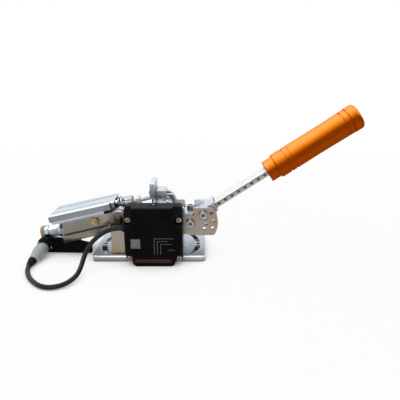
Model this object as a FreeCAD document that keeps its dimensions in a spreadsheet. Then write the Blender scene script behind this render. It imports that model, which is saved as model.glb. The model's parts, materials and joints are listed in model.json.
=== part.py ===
"""Sim racing handbrake: a bolted frame, a pull lever on a pivot and a sprung cylinder with a sensor.

Millimetres. The origin is the centre of the base plate's underside, +Z up, +X towards the grip,
+Y away from the electronics box. The lever rests on its stop.
"""
import FreeCAD, Part
import math
import os
import re
import Sketcher
from FreeCAD import Placement, Rotation, Vector

SIZES = {
    # Base plate with four arc slots and two round holes on one circle
    "plate_length": 150, "plate_width": 82, "plate_thickness": 8.5, "plate_corner": 6, "plate_edge": 1.6,
    "slot_circle": 65, "slot_width": 7, "slot_start": 8, "slot_end": 30, "plate_hole": 5,
    "plate_screw": 4, "plate_screw_depth": 14,
    # Side plates: a lobe round the arm bolt and a lobe round the lever's pivot
    "side_gap": 27.5, "side_thickness": 6, "side_left": 49.8, "side_right": 43,
    "arm_bolt_x": -38.8, "arm_bolt_z": 57, "side_arm_lobe": 11, "arm_bolt": 8,
    "pivot_x": 16.4, "pivot_z": 61.3, "side_pivot_lobe": 18, "pivot_bolt": 10, "running_gap": 0.05,
    "frame_spacer": 12, "frame_screw": 5, "stop_bar": 8, "stop_sleeve": 14, "stop_gap": 0.3,
    # Cylinder group, in a frame that lies along the push rod
    "rod_x": -14.4, "rod_z": 73.5, "rod_tilt": 13,
    "block_left": 120.3, "block_right": 36, "block_width": 50, "block_top": 10.3, "flange_bottom": 1.7,
    "block_foot": 13, "groove_place": 12, "groove_width": 2, "groove_depth": 1.2, "bore": 15,
    "bore_depth": 70, "cap_thickness": 5, "cap_width": 40, "cap_recess": 3.5, "cap_screw": 4,
    "cap_screw_y": 11.5, "arm_left": 103, "arm_top": 1.8, "arm_bottom": 28.5, "arm_thickness": 12,
    "arm_lobe": 12, "arm_groove_height": 3.3, "arm_groove_depth": 3, "arm_groove_level": 18,
    "arm_groove_end": 44, "gallery_width": 21, "gallery_left": 115.5, "gallery_top": 13.2, "gallery_right": 52,
    "bleed_u": -60, "bleed_w": -8.5, "bleed_flats": 9.5,
    "sensor_w": -17, "sensor_flats": 19, "sensor_flange": 23,
    # Push rod, spring and rod end
    "push_rod": 6.5, "rod_eye": 12, "rod_eye_thickness": 8, "rod_pin": 5, "pin_gap": 0.4, "seat": 17,
    "seat_start": -20, "seat_length": 11, "spring_wire": 2, "spring_outer": 16.8, "spring_turns": 3.25,
    "nut_start": -3.5, "nut_flats": 11,
    # Rocker, cheeks and lever
    "rocker_width": 24, "rocker_top": 89, "rocker_left": 8, "rocker_right": 22, "hub": 15,
    "cheek_gap": 16.5, "cheek_thickness": 5, "fork_gap": 8.6, "fork_plate_width": 36,
    "fork_plate_thickness": 6.6, "fork_plate_height": 19, "lever_x": 54.6, "lever_z": 47.8,
    "lever_angle": 33.4, "lock_angle": 35, "lock_radius": 21, "outer_radius": 31, "hole_step": 20,
    "cheek_hole": 4.8, "cheek_bolt": 6, "sector_radius": 37, "sector_top": 68.3, "sector_bottom": 29.8,
    "holder_top": 60, "holder_end": 40, "bar_width": 25, "bar_thickness": 8, "bar_start": 25,
    "bar_end": 141, "bar_offset": -1.2, "bar_hole": 4.5, "bar_hole_pitch": 10.2, "bar_hole_first": 45.4,
    # Grip
    "grip_start": 121.3, "grip_offset": -2.8, "grip_diameter": 34, "grip_waist": 33.2,
    "collar_diameter": 29.5, "collar_length": 14, "shoulder_length": 14.5, "ring_length": 6.2,
    "grip_groove": 1.6, "grip_groove_depth": 1.1, "grip_body": 76, "grip_cap": 14, "grip_bore": 18,
    # Electronics box on the front side plate
    "box_left": -28, "box_right": 45.5, "box_bottom": 11.5, "box_top": 79.3, "box_depth": 24.5,
    "box_corner": 5, "box_wall": 2.4, "cover_depth": 8, "flange_depth": 3, "screw_notch": 10,
    "ear_screw": 9.3, "top_screw": 62,
    "lip_left": -18.6, "lip_right": 35.8, "lip_bottom": 0.3, "lip_taper": 4, "usb_z": 26,
    # Connector bracket, plug and cable
    "bracket_thickness": 5, "socket_x": -144.8, "socket_z": 13.2, "socket_flange": 22,
    "plug_length": 31, "cable": 6,
}

doc = FreeCAD.newDocument("handbrake")
sheet = doc.addObject("Spreadsheet::Sheet", "Sizes")
for row, (alias, number) in enumerate(SIZES.items(), start=1):
    sheet.set(f"A{row}", alias)
    sheet.set(f"B{row}", str(number))
    sheet.setAlias(f"B{row}", alias)
doc.recompute()

NODES = []
UP = Vector(0, 0, 1)
ACROSS = Vector(0, 1, 0)
ALONG = Vector(1, 0, 0)
TILT_AXIS = Vector(0, -1, 0)


def size(name):
    """A driving dimension, read from the sheet."""
    return float(sheet.get(name))


def linked(formula):
    """The formula with each sheet alias written as a reference to its cell."""
    return re.sub(r"[a-z]\w*", lambda word: f"Sizes.{word[0]}" if word[0] in SIZES else word[0], str(formula))


def bind(thing, **formulas):
    """Tie properties to the sheet; a double underscore in a name stands for a dot."""
    for path, formula in formulas.items():
        thing.setExpression(path.replace("__", "."), linked(formula))
    return thing


def node(name, thing):
    """Keep a finished sub-part under the name of its node."""
    thing.Label = name
    NODES.append(thing)
    return thing


def block(name, length, width, height, x, y, z):
    """A box between its low corner (x, y, z) and its three sizes."""
    thing = doc.addObject("Part::Box", name)
    return bind(thing, Length=length, Width=width, Height=height,
                Placement__Base__x=x, Placement__Base__y=y, Placement__Base__z=z)


def turned(name, radius, length, x, y, z, direction=UP):
    """A cylinder that starts at (x, y, z) and runs along direction."""
    thing = doc.addObject("Part::Cylinder", name)
    thing.Placement = Placement(Vector(), Rotation(UP, direction))
    return bind(thing, Radius=radius, Height=length,
                Placement__Base__x=x, Placement__Base__y=y, Placement__Base__z=z)


def hexagon(name, flats, length, x, y, z, direction=UP):
    """A six-sided bar, given by its width across flats."""
    thing = doc.addObject("Part::Prism", name)
    thing.Polygon = 6
    thing.Placement = Placement(Vector(), Rotation(UP, direction))
    return bind(thing, Circumradius=f"({flats}) / sqrt(3)", Height=length,
                Placement__Base__x=x, Placement__Base__y=y, Placement__Base__z=z)


def together(name, things):
    """Separate solids kept as one object."""
    thing = doc.addObject("Part::Compound", name)
    thing.Links = list(things)
    return thing


def fused(name, *things):
    thing = doc.addObject("Part::MultiFuse", name)
    thing.Shapes = list(things)
    return thing


def cut(name, base, *tools):
    thing = doc.addObject("Part::Cut", name)
    thing.Base = base
    thing.Tool = tools[0] if len(tools) == 1 else together(f"{name}_tools", tools)
    return thing


def edges_of(shape, wanted):
    return [number for number, edge in enumerate(shape.Edges, start=1) if wanted(edge)]


def runs_along(edge, direction):
    """True for a straight edge parallel to direction."""
    if not isinstance(edge.Curve, (Part.Line, Part.LineSegment)):
        return False
    return abs(abs(edge.tangentAt(edge.FirstParameter).dot(direction)) - 1) < 1e-6


def filleted(name, base, radius, wanted):
    """Round the wanted edges of a primitive or boolean."""
    doc.recompute()
    thing = doc.addObject("Part::Fillet", name)
    thing.Base = base
    thing.Edges = [(number, radius, radius) for number in edges_of(base.Shape, wanted)]
    return thing


def chamfered(name, base, leg, wanted):
    doc.recompute()
    thing = doc.addObject("Part::Chamfer", name)
    thing.Base = base
    thing.Edges = [(number, leg, leg) for number in edges_of(base.Shape, wanted)]
    return thing


def in_rod_frame(thing):
    """Place a piece that was made along the push rod: X along the rod, Z square to it."""
    thing.Placement = Placement(Vector(), Rotation(TILT_AXIS, 1))
    return bind(thing, Placement__Base__x="rod_x", Placement__Base__z="rod_z",
                Placement__Rotation__Angle="rod_tilt")


def in_lever_frame(thing):
    """Place a piece that was made along the lever: X from the lever bolt towards the grip."""
    thing.Placement = Placement(Vector(), Rotation(TILT_AXIS, 1))
    return bind(thing, Placement__Base__x="lever_x", Placement__Base__z="lever_z",
                Placement__Rotation__Angle="lever_angle")


def rod_local(x, z):
    """A point of the main frame, seen in the push rod's frame."""
    angle = math.radians(size("rod_tilt"))
    dx, dz = x - size("rod_x"), z - size("rod_z")
    return dx * math.cos(angle) + dz * math.sin(angle), dz * math.cos(angle) - dx * math.sin(angle)


def lever_point(along, up):
    """A point of the lever's frame, seen in the main frame."""
    angle = math.radians(size("lever_angle"))
    return (size("lever_x") + along * math.cos(angle) - up * math.sin(angle),
            size("lever_z") + along * math.sin(angle) + up * math.cos(angle))


def polar(radius, degrees):
    """A point on a circle round the lever bolt."""
    angle = math.radians(degrees)
    return size("lever_x") + radius * math.cos(angle), size("lever_z") + radius * math.sin(angle)


def new_body(name):
    return doc.addObject("PartDesign::Body", name)


def sketch_on(body, name, role, offset=0):
    """A sketch on one of the body's origin planes, moved along the plane's normal."""
    sketch = body.newObject("Sketcher::SketchObject", name)
    plane = next(feature for feature in body.Origin.OriginFeatures if feature.Role == role)
    sketch.AttachmentSupport = [(plane, "")]
    sketch.MapMode = "FlatFace"
    return bind(sketch, AttachmentOffset__Base__z=offset)


def corner_arc(before, corner, after, radius):
    """Start, middle and end of the arc that rounds a corner."""
    one, two = (before - corner).normalize(), (after - corner).normalize()
    half = one.getAngle(two) / 2
    centre = corner + (one + two).normalize() * (radius / math.sin(half))
    reach = radius / math.tan(half)
    return corner + one * reach, centre + (corner - centre).normalize() * radius, corner + two * reach


def outline(sketch, corners):
    """A closed outline through (x, y, radius) corners; an entry of two numbers is a point that an arc
    passes through between its neighbours."""
    points = [Vector(entry[0], entry[1], 0) for entry in corners]
    count = len(corners)
    stops = []
    for index, entry in enumerate(corners):
        if len(entry) == 3 and entry[2] > 0:
            stops.append(corner_arc(points[index - 1], points[index], points[(index + 1) % count], entry[2]))
        else:
            stops.append((points[index],) * 3)
    first = sketch.GeometryCount
    for index, entry in enumerate(corners):
        following = (index + 1) % count
        if len(entry) == 2:
            sketch.addGeometry(Part.Arc(stops[index - 1][2], points[index], stops[following][0]))
            continue
        if entry[2] > 0:
            sketch.addGeometry(Part.Arc(*stops[index]))
        start, end = stops[index][2], stops[following][0]
        if len(corners[following]) == 3 and start.distanceToPoint(end) > 1e-6:
            sketch.addGeometry(Part.LineSegment(start, end))
    join_ends(sketch, first, sketch.GeometryCount)


def join_ends(sketch, first, last):
    """Make the neighbouring ends of a loop coincident."""
    for index in range(first, last):
        following = index + 1 if index + 1 < last else first
        for near in (1, 2):
            for far in (1, 2):
                if sketch.getPoint(index, near).distanceToPoint(sketch.getPoint(following, far)) < 1e-6:
                    sketch.addConstraint(Sketcher.Constraint("Coincident", index, near, following, far))


def ring(sketch, x, y, radius):
    """A circle whose radius and centre are tied to the sheet or to worked-out numbers."""
    number = sketch.addGeometry(Part.Circle(Vector(), UP, 1))
    for kind, place, formula in (("Radius", (number,), radius), ("DistanceX", (-1, 1, number, 3), x),
                                 ("DistanceY", (-1, 1, number, 3), y)):
        constraint = sketch.addConstraint(Sketcher.Constraint(kind, *place, 1.0))
        sketch.setExpression(f"Constraints[{constraint}]", linked(formula))


def rectangle(sketch, left, bottom, right, top):
    outline(sketch, [(left, bottom, 0), (right, bottom, 0), (right, top, 0), (left, top, 0)])


def pad(body, name, sketch, length, midplane=False):
    feature = body.newObject("PartDesign::Pad", name)
    feature.Profile = sketch
    feature.Midplane = midplane
    return bind(feature, Length=length)


def pocket(body, name, sketch, length=None, reverse=False):
    """A pocket against the sketch's normal, or along it when reversed; through both ways with no length."""
    feature = body.newObject("PartDesign::Pocket", name)
    feature.Profile = sketch
    feature.Reversed = reverse
    if length is None:
        feature.Type = "ThroughAll"
        feature.Midplane = True
        return feature
    return bind(feature, Length=length)


def dressed(body, kind, name, amount, wanted):
    """A fillet or chamfer on the body's wanted edges."""
    doc.recompute()
    base = body.Tip
    feature = body.newObject(kind, name)
    feature.Base = (base, [f"Edge{number}" for number in edges_of(base.Shape, wanted)])
    return bind(feature, **{"Radius" if kind.endswith("Fillet") else "Size": amount})


def on_plane_y(level):
    """Edges that lie in the plane Y = level."""
    return lambda edge: abs(edge.BoundBox.YMin - level) < 1e-4 and abs(edge.BoundBox.YMax - level) < 1e-4


def socket_screw(name, diameter, length, x, y, z, direction, low_head=False):
    """A socket-head screw; (x, y, z) is where the head seats and direction points out of the head."""
    head_radius = 0.8 * diameter
    head_height = 0.6 * diameter if low_head else diameter
    start = Vector(x, y, z)
    foot = start - direction * length
    depth = start + direction * (head_height * 0.45)
    shank = turned(f"{name}_shank", diameter / 2 - size("running_gap"), length, *foot, direction)
    head = turned(f"{name}_head", head_radius, head_height, *start, direction)
    recess = hexagon(f"{name}_recess", 0.8 * diameter, head_height, *depth, direction)
    return cut(name, fused(f"{name}_blank", shank, head), recess)


def hex_nut(name, diameter, x, y, z, direction, height=None):
    """A nut that seats at (x, y, z) and stands along direction."""
    tall = height or 0.8 * diameter
    blank = hexagon(f"{name}_blank", 1.7 * diameter, tall, x, y, z, direction)
    bore = turned(f"{name}_bore", diameter / 2 + size("running_gap"), tall, x, y, z, direction)
    return cut(name, blank, bore)


# Places that several sub-parts share
SIDE_OUTER = size("side_gap") + size("side_thickness")
CHEEK_OUTER = size("cheek_gap") + size("cheek_thickness")
ARM_INNER = size("side_gap") - size("arm_thickness")
ARM_BOLT_U, ARM_BOLT_W = rod_local(size("arm_bolt_x"), size("arm_bolt_z"))
PLATE_SCREW_XS = (-38, 2, 34)
SPACER_PLACE = (-18, 24)
BOX_SCREW_PLACES = ((24.5, 71.8), (-14, 38), (38, 25))
LOCK_PLACE = polar(size("lock_radius"), size("lock_angle"))
# The pin of the rod end lies on the rod's axis, as far from the pivot as the axis passes it
PIN_LEAN = 8
ROD_LEVER = abs(rod_local(size("pivot_x"), size("pivot_z"))[1]) / math.cos(math.radians(PIN_LEAN))
PIN_ANGLE = math.radians(90 + size("rod_tilt") - PIN_LEAN)
PIN_PLACE = (size("pivot_x") + ROD_LEVER * math.cos(PIN_ANGLE),
             size("pivot_z") + ROD_LEVER * math.sin(PIN_ANGLE))
PIN_U = rod_local(*PIN_PLACE)[0]
# The cheeks' lower edge left of the sector, from which the stop hangs
EDGE_RIGHT = (size("lever_x") - 12.6, size("sector_bottom") + 2.5)
EDGE_LEFT = (size("pivot_x") + 4, size("pivot_z") - 15.5)


def stop_place():
    """Centre of the stop bar: a sleeve's radius and the stop's gap below the cheeks' lower edge."""
    along = Vector(EDGE_LEFT[0] - EDGE_RIGHT[0], EDGE_LEFT[1] - EDGE_RIGHT[1], 0).normalize()
    middle = Vector(*EDGE_RIGHT, 0) + along * 11
    below = Vector(along.y, -along.x, 0)
    below = below if below.y < 0 else -below
    centre = middle + below * (size("stop_sleeve") / 2 + size("stop_gap"))
    return centre.x, centre.y


STOP_PLACE = stop_place()


def arc_slot(sketch, radius, width, start, end):
    """A slot along an arc round the origin, with round ends."""
    inner, outer = radius - width / 2, radius + width / 2
    first = sketch.GeometryCount
    begin, finish = math.radians(start), math.radians(end)
    for reach in (inner, outer):
        sketch.addGeometry(Part.ArcOfCircle(Part.Circle(Vector(), UP, reach), begin, finish))
    for angle, outwards in ((begin, -1), (finish, 1)):
        spoke = Vector(math.cos(angle), math.sin(angle), 0)
        side = Vector(-spoke.y, spoke.x, 0) * outwards
        centre = spoke * radius
        sketch.addGeometry(Part.Arc(spoke * inner, centre + side * (width / 2), spoke * outer))
    for arc in (first, first + 1):
        for end_cap in (first + 2, first + 3):
            for near in (1, 2):
                for far in (1, 2):
                    if sketch.getPoint(arc, near).distanceToPoint(sketch.getPoint(end_cap, far)) < 1e-6:
                        sketch.addConstraint(Sketcher.Constraint("Coincident", arc, near, end_cap, far))


def base_plate():
    body = new_body("base_plate_body")
    profile = sketch_on(body, "plate_profile", "XY_Plane")
    half_x, half_y = size("plate_length") / 2, size("plate_width") / 2
    corner = size("plate_corner")
    outline(profile, [(-half_x, -half_y, corner), (half_x, -half_y, corner),
                      (half_x, half_y, corner), (-half_x, half_y, corner)])
    pad(body, "plate_pad", profile, "plate_thickness")
    top = size("plate_thickness")
    dressed(body, "PartDesign::Fillet", "plate_rounding", "plate_edge",
            lambda edge: abs(edge.BoundBox.ZMin - top) < 1e-4 and abs(edge.BoundBox.ZMax - top) < 1e-4)
    slots = sketch_on(body, "plate_slots", "XY_Plane")
    start, end = size("slot_start"), size("slot_end")
    for low, high in ((start, end), (-end, -start), (180 + start, 180 + end), (180 - end, 180 - start)):
        arc_slot(slots, size("slot_circle"), size("slot_width"), low, high)
    for sign in ("", "-"):
        ring(slots, f"{sign}slot_circle", 0, "plate_hole / 2")
    for x in PLATE_SCREW_XS:
        for sign in ("", "-"):
            ring(slots, x, f"{sign}(side_gap + side_thickness / 2)", "plate_screw / 2 + 0.2")
    pocket(body, "plate_cuts", slots)
    heads = sketch_on(body, "plate_head_seats", "XY_Plane")
    for x in PLATE_SCREW_XS:
        for sign in ("", "-"):
            ring(heads, x, f"{sign}(side_gap + side_thickness / 2)", "plate_screw * 0.8 + 0.3")
    pocket(body, "plate_head_pockets", heads, "plate_screw * 0.6 + 0.4", reverse=True)
    node("base_plate", body)


def side_plate(name, front):
    """A side plate: pad of its outline, with the bolt holes and the tapped holes in its foot."""
    body = new_body(f"{name}_body")
    offset = "side_gap" if front else "-(side_gap + side_thickness)"
    profile = sketch_on(body, f"{name}_profile", "XZ_Plane", offset)
    foot, left, right = size("plate_thickness"), -size("side_left"), size("side_right")
    arm_x, arm_z, arm_r = size("arm_bolt_x"), size("arm_bolt_z"), size("side_arm_lobe")
    pivot_x, pivot_z, pivot_r = size("pivot_x"), size("pivot_z"), size("side_pivot_lobe")
    valley = pivot_z - 16
    outline(profile, [
        (left, foot, 0), (left, arm_z + arm_r, arm_r), (arm_x + arm_r, arm_z + arm_r, arm_r),
        (arm_x + arm_r, valley, 5), (pivot_x - pivot_r, valley, 8),
        (pivot_x - pivot_r, pivot_z + pivot_r, pivot_r), (pivot_x + pivot_r, pivot_z + pivot_r, pivot_r),
        (pivot_x + pivot_r, pivot_z - 12, 6), (right, foot + 26, 6), (right, foot, 0)])
    pad(body, f"{name}_pad", profile, "side_thickness")
    holes = sketch_on(body, f"{name}_holes", "XZ_Plane", offset)
    ring(holes, "pivot_x", "pivot_z", "pivot_bolt / 2 + running_gap")
    ring(holes, "arm_bolt_x", "arm_bolt_z", "arm_bolt / 2 + 0.1")
    ring(holes, *SPACER_PLACE, "frame_screw / 2 + 0.1")
    ring(holes, *STOP_PLACE, "frame_screw / 2 + 0.1")
    for x, z in BOX_SCREW_PLACES:
        ring(holes, x, z, 2.1)
    pocket(body, f"{name}_cuts", holes)
    feet = sketch_on(body, f"{name}_feet", "XY_Plane", "plate_thickness")
    middle = "-(side_gap + side_thickness / 2)" if front else "side_gap + side_thickness / 2"
    for x in PLATE_SCREW_XS:
        ring(feet, x, middle, "plate_screw / 2")
    pocket(body, f"{name}_foot_holes", feet, "plate_screw_depth", reverse=True)
    outer = -SIDE_OUTER if front else size("side_gap")
    dressed(body, "PartDesign::Chamfer", f"{name}_edge", 0.5,
            lambda edge: on_plane_y(outer)(edge) and not isinstance(edge.Curve, Part.Circle)
            or on_plane_y(outer)(edge) and edge.Length > 14)
    node(name, body)


def frame_fasteners():
    """Screws that hold the side plates, the cross bars and the rubber-covered stop."""
    seat = size("plate_screw") * 0.6 + 0.4
    lower = [socket_screw(f"foot_screw_{x}_{side}", size("plate_screw"), size("plate_thickness") - seat + 12,
                          x, side * (size("side_gap") + size("side_thickness") / 2), seat, Vector(0, 0, -1),
                          low_head=True)
             for x in PLATE_SCREW_XS for side in (-1, 1)]
    node("side_plate_screws", together("foot_screws", lower))
    gap = size("side_gap")
    for name, place, radius in (("frame_spacer", SPACER_PLACE, "frame_spacer / 2"),
                                ("stop_bar", STOP_PLACE, "stop_bar / 2")):
        bar = turned(f"{name}_blank", radius, 2 * gap, place[0], -gap, place[1], ACROSS)
        bore = turned(f"{name}_bore", "frame_screw / 2", 2 * gap, place[0], -gap, place[1], ACROSS)
        node(name, cut(f"{name}_cut", bar, bore))
    sleeve_half = size("cheek_gap") + size("cheek_thickness") + 3
    sleeve = turned("sleeve_blank", "stop_sleeve / 2", 2 * sleeve_half, STOP_PLACE[0], -sleeve_half,
                    STOP_PLACE[1], ACROSS)
    core = turned("sleeve_core", "stop_bar / 2", 2 * sleeve_half, STOP_PLACE[0], -sleeve_half,
                  STOP_PLACE[1], ACROSS)
    node("stop_sleeve", cut("sleeve_cut", sleeve, core))
    rods = []
    for number, (x, z) in enumerate((SPACER_PLACE, STOP_PLACE)):
        rods.append(socket_screw(f"bar_screw_{number}", size("frame_screw"), 2 * SIDE_OUTER - 0.5,
                                 x, SIDE_OUTER, z, ACROSS))
    node("frame_bar_screws", together("bar_screws", rods))


def pivot_group():
    """Pivot bolt through both side plates, with flanged bushes in the rocker's hub and thrust washers."""
    bolt = turned("pivot_shank", "pivot_bolt / 2", 2 * SIDE_OUTER, "pivot_x", -SIDE_OUTER, "pivot_z", ACROSS)
    head = turned("pivot_head", "pivot_bolt * 0.8", 5, "pivot_x", SIDE_OUTER, "pivot_z", ACROSS)
    recess = hexagon("pivot_recess", 6, 4, "pivot_x", SIDE_OUTER + 2, "pivot_z", ACROSS)
    node("pivot_bolt", cut("pivot_cut", fused("pivot_fused", bolt, head), recess))
    rings = []
    for side in (-1, 1):
        low = CHEEK_OUTER + 0.2 if side > 0 else -size("side_gap")
        length = size("side_gap") - CHEEK_OUTER - 0.2
        outer = turned(f"washer_{side}", "pivot_bolt / 2 + 3", length, "pivot_x", low, "pivot_z", ACROSS)
        inner = turned(f"washer_bore_{side}", "pivot_bolt / 2 + running_gap", length, "pivot_x", low,
                       "pivot_z", ACROSS)
        rings.append(cut(f"washer_cut_{side}", outer, inner))
    node("pivot_washers", together("washers", rings))
    bushes = []
    for side in (-1, 1):
        low = 4 if side > 0 else -CHEEK_OUTER
        length = CHEEK_OUTER - 4
        outer = turned(f"bush_{side}", "pivot_bolt / 2 + 2", length, "pivot_x", low, "pivot_z", ACROSS)
        inner = turned(f"bush_bore_{side}", "pivot_bolt / 2 + running_gap", length, "pivot_x", low,
                       "pivot_z", ACROSS)
        bushes.append(cut(f"bush_cut_{side}", outer, inner))
    node("pivot_bushes", together("bushes", bushes))


def cylinder_arm(name, front):
    """An arm that carries the cylinder: a long bar with a round end on the arm bolt."""
    body = in_rod_frame(new_body(f"{name}_body"))
    offset = "side_gap - arm_thickness" if front else "-side_gap"
    profile = sketch_on(body, f"{name}_profile", "XZ_Plane", offset)
    left, top, bottom = -size("arm_left"), -size("arm_top"), -size("arm_bottom")
    lobe = size("arm_lobe")
    outline(profile, [(left - 7, bottom, 2), (left, top, 1), (ARM_BOLT_U - 6, top, 0),
                      (ARM_BOLT_U, ARM_BOLT_W, 0), (ARM_BOLT_U + 2, ARM_BOLT_W - lobe + 1, 0), (ARM_BOLT_U - 16, bottom, 6)])
    pad(body, f"{name}_pad", profile, "arm_thickness")
    end = sketch_on(body, f"{name}_end", "XZ_Plane", offset)
    ring(end, ARM_BOLT_U, ARM_BOLT_W, "arm_lobe")
    pad(body, f"{name}_lobe", end, "arm_thickness")
    holes = sketch_on(body, f"{name}_holes", "XZ_Plane", offset)
    ring(holes, ARM_BOLT_U, ARM_BOLT_W, "arm_bolt / 2")
    if front:
        ring(holes, "bleed_u", "bleed_w", 3.1)
    pocket(body, f"{name}_cuts", holes)
    outer = "side_gap" if front else "-side_gap"
    groove = sketch_on(body, f"{name}_groove_profile", "XZ_Plane", outer)
    level, half, finish = -size("arm_groove_level"), size("arm_groove_height") / 2, -size("arm_groove_end")
    outline(groove, [(left - 8, level - half, 0), (finish, level - half, half * 0.98),
                     (finish, level + half, half * 0.98), (left - 8, level + half, 0)])
    pocket(body, f"{name}_groove", groove, "arm_groove_depth", reverse=not front)
    for kind, radius, start, length in (("head", 3.4, "-arm_bottom", 8), ("shank", 2.1, "8 - arm_bottom", 30)):
        seats = sketch_on(body, f"{name}_{kind}_profile", "XY_Plane", start)
        for along, across in clamp_screw_places():
            if (across < 0) == front:
                ring(seats, along, across, radius)
        pocket(body, f"{name}_{kind}_holes", seats, length, reverse=True)
    node(name, body)


def cylinder_block():
    """The cylinder: a wide grooved flange on a narrower foot, bored from the right end."""
    body = in_rod_frame(new_body("cylinder_block_body"))
    left, right = "-block_left", "-block_right"
    half, top, under = size("block_width") / 2, size("block_top"), size("flange_bottom")
    place, wide, deep = size("groove_place"), size("groove_width") / 2, size("groove_depth")
    flange = sketch_on(body, "flange_profile", "YZ_Plane", left)
    outline(flange, [
        (-half, under, 0), (half, under, 0), (half, top, 1.2),
        (place + wide, top, 0), (place + wide, top - deep, 0), (place - wide, top - deep, 0),
        (place - wide, top, 0),
        (-place + wide, top, 0), (-place + wide, top - deep, 0), (-place - wide, top - deep, 0),
        (-place - wide, top, 0), (-half, top, 1.2)])
    pad(body, "flange_pad", flange, "block_left - block_right")
    foot = sketch_on(body, "foot_profile", "YZ_Plane", "-arm_left")
    rectangle(foot, -ARM_INNER, -size("block_foot"), ARM_INNER, under + 1)
    pad(body, "foot_pad", foot, "arm_left - block_right")
    bore = sketch_on(body, "bore_profile", "YZ_Plane", right)
    ring(bore, 0, 0, "bore / 2")
    pocket(body, "bore_pocket", bore, "bore_depth")
    tapped = sketch_on(body, "cap_screw_profile", "YZ_Plane", right)
    for y, z in cap_screw_places():
        ring(tapped, y, z, "cap_screw / 2")
    pocket(body, "cap_screw_pocket", tapped, 9)
    bleed = sketch_on(body, "bleed_profile", "XZ_Plane", "side_gap - arm_thickness")
    ring(bleed, "bleed_u", "bleed_w", 3.1)
    pocket(body, "bleed_pocket", bleed, 5)
    clamps = sketch_on(body, "clamp_profile", "XY_Plane", "flange_bottom")
    for u, y in clamp_screw_places():
        ring(clamps, u, y, 2)
    pocket(body, "clamp_pocket", clamps, 6, reverse=True)
    node("cylinder_body", body)


def cap_screw_places():
    """Screws of the end cap, two in the flange and two in the foot, as (across, up)."""
    high = (size("block_top") + size("flange_bottom")) / 2
    return [(side * size("cap_screw_y"), level) for side in (-1, 1) for level in (high, -high - 2)]


def clamp_screw_places():
    """Screws that come up through the arms into the flange, as (along, across)."""
    across = (ARM_INNER + size("block_width") / 2) / 2
    return [(along, side * across) for along in (-size("arm_left") + 12, -size("block_right") - 12)
            for side in (-1, 1)]


def cylinder_details():
    """Packers under the flange, the end cap with its screws, and the screws from below."""
    width = size("block_width") / 2 - ARM_INNER
    height = size("flange_bottom") + size("arm_top")
    strips = []
    for side in (-1, 1):
        low = ARM_INNER if side > 0 else -ARM_INNER - width
        strip = block(f"packer_{side}", "block_left - block_right - 12.5", width, height,
                      "2.5 - block_left", low, "-arm_top")
        holes = [turned(f"packer_hole_{side}_{number}", 2.2, height, along, across, "-arm_top")
                 for number, (along, across) in enumerate(clamp_screw_places()) if across * side > 0]
        strips.append(cut(f"packer_cut_{side}", strip, *holes))
    node("cylinder_packers", in_rod_frame(together("packers", strips)))

    cap_top, cap_foot = size("block_top"), -size("block_foot") + 1
    neck = ARM_INNER - 0.3
    blank = block("cap_blank", "cap_thickness", 2 * neck, cap_top - cap_foot, "-block_right", -neck, cap_foot)
    wings = block("cap_wings", "cap_thickness", "cap_width", "block_top - arm_top", "-block_right",
                  "-cap_width / 2", "arm_top")
    rounded = filleted("cap_rounded", fused("cap_fused", blank, wings), 2,
                       lambda edge: runs_along(edge, ALONG) and abs(edge.BoundBox.Center.z - size("arm_top")) > 1)
    tools = [turned("cap_rod_hole", "push_rod / 2 + running_gap", "cap_thickness", "-block_right", 0, 0, ALONG),
             turned("cap_spring_recess", "spring_outer / 2 + 1.2", "cap_recess",
                    "cap_thickness - block_right - cap_recess", 0, 0, ALONG)]
    tools += [turned(f"cap_hole_{number}", "cap_screw / 2 + 0.1", "cap_thickness", "-block_right", y, z, ALONG)
              for number, (y, z) in enumerate(cap_screw_places())]
    node("cylinder_end_cap", in_rod_frame(cut("cap_cut", rounded, fused("cap_tools", *tools))))
    seat = size("cap_thickness") - size("block_right")
    screws = [socket_screw(f"cap_screw_{number}", size("cap_screw"), size("cap_thickness") + 8, seat, y, z, ALONG)
              for number, (y, z) in enumerate(cap_screw_places())]
    node("end_cap_screws", in_rod_frame(together("cap_screws", screws)))


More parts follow.
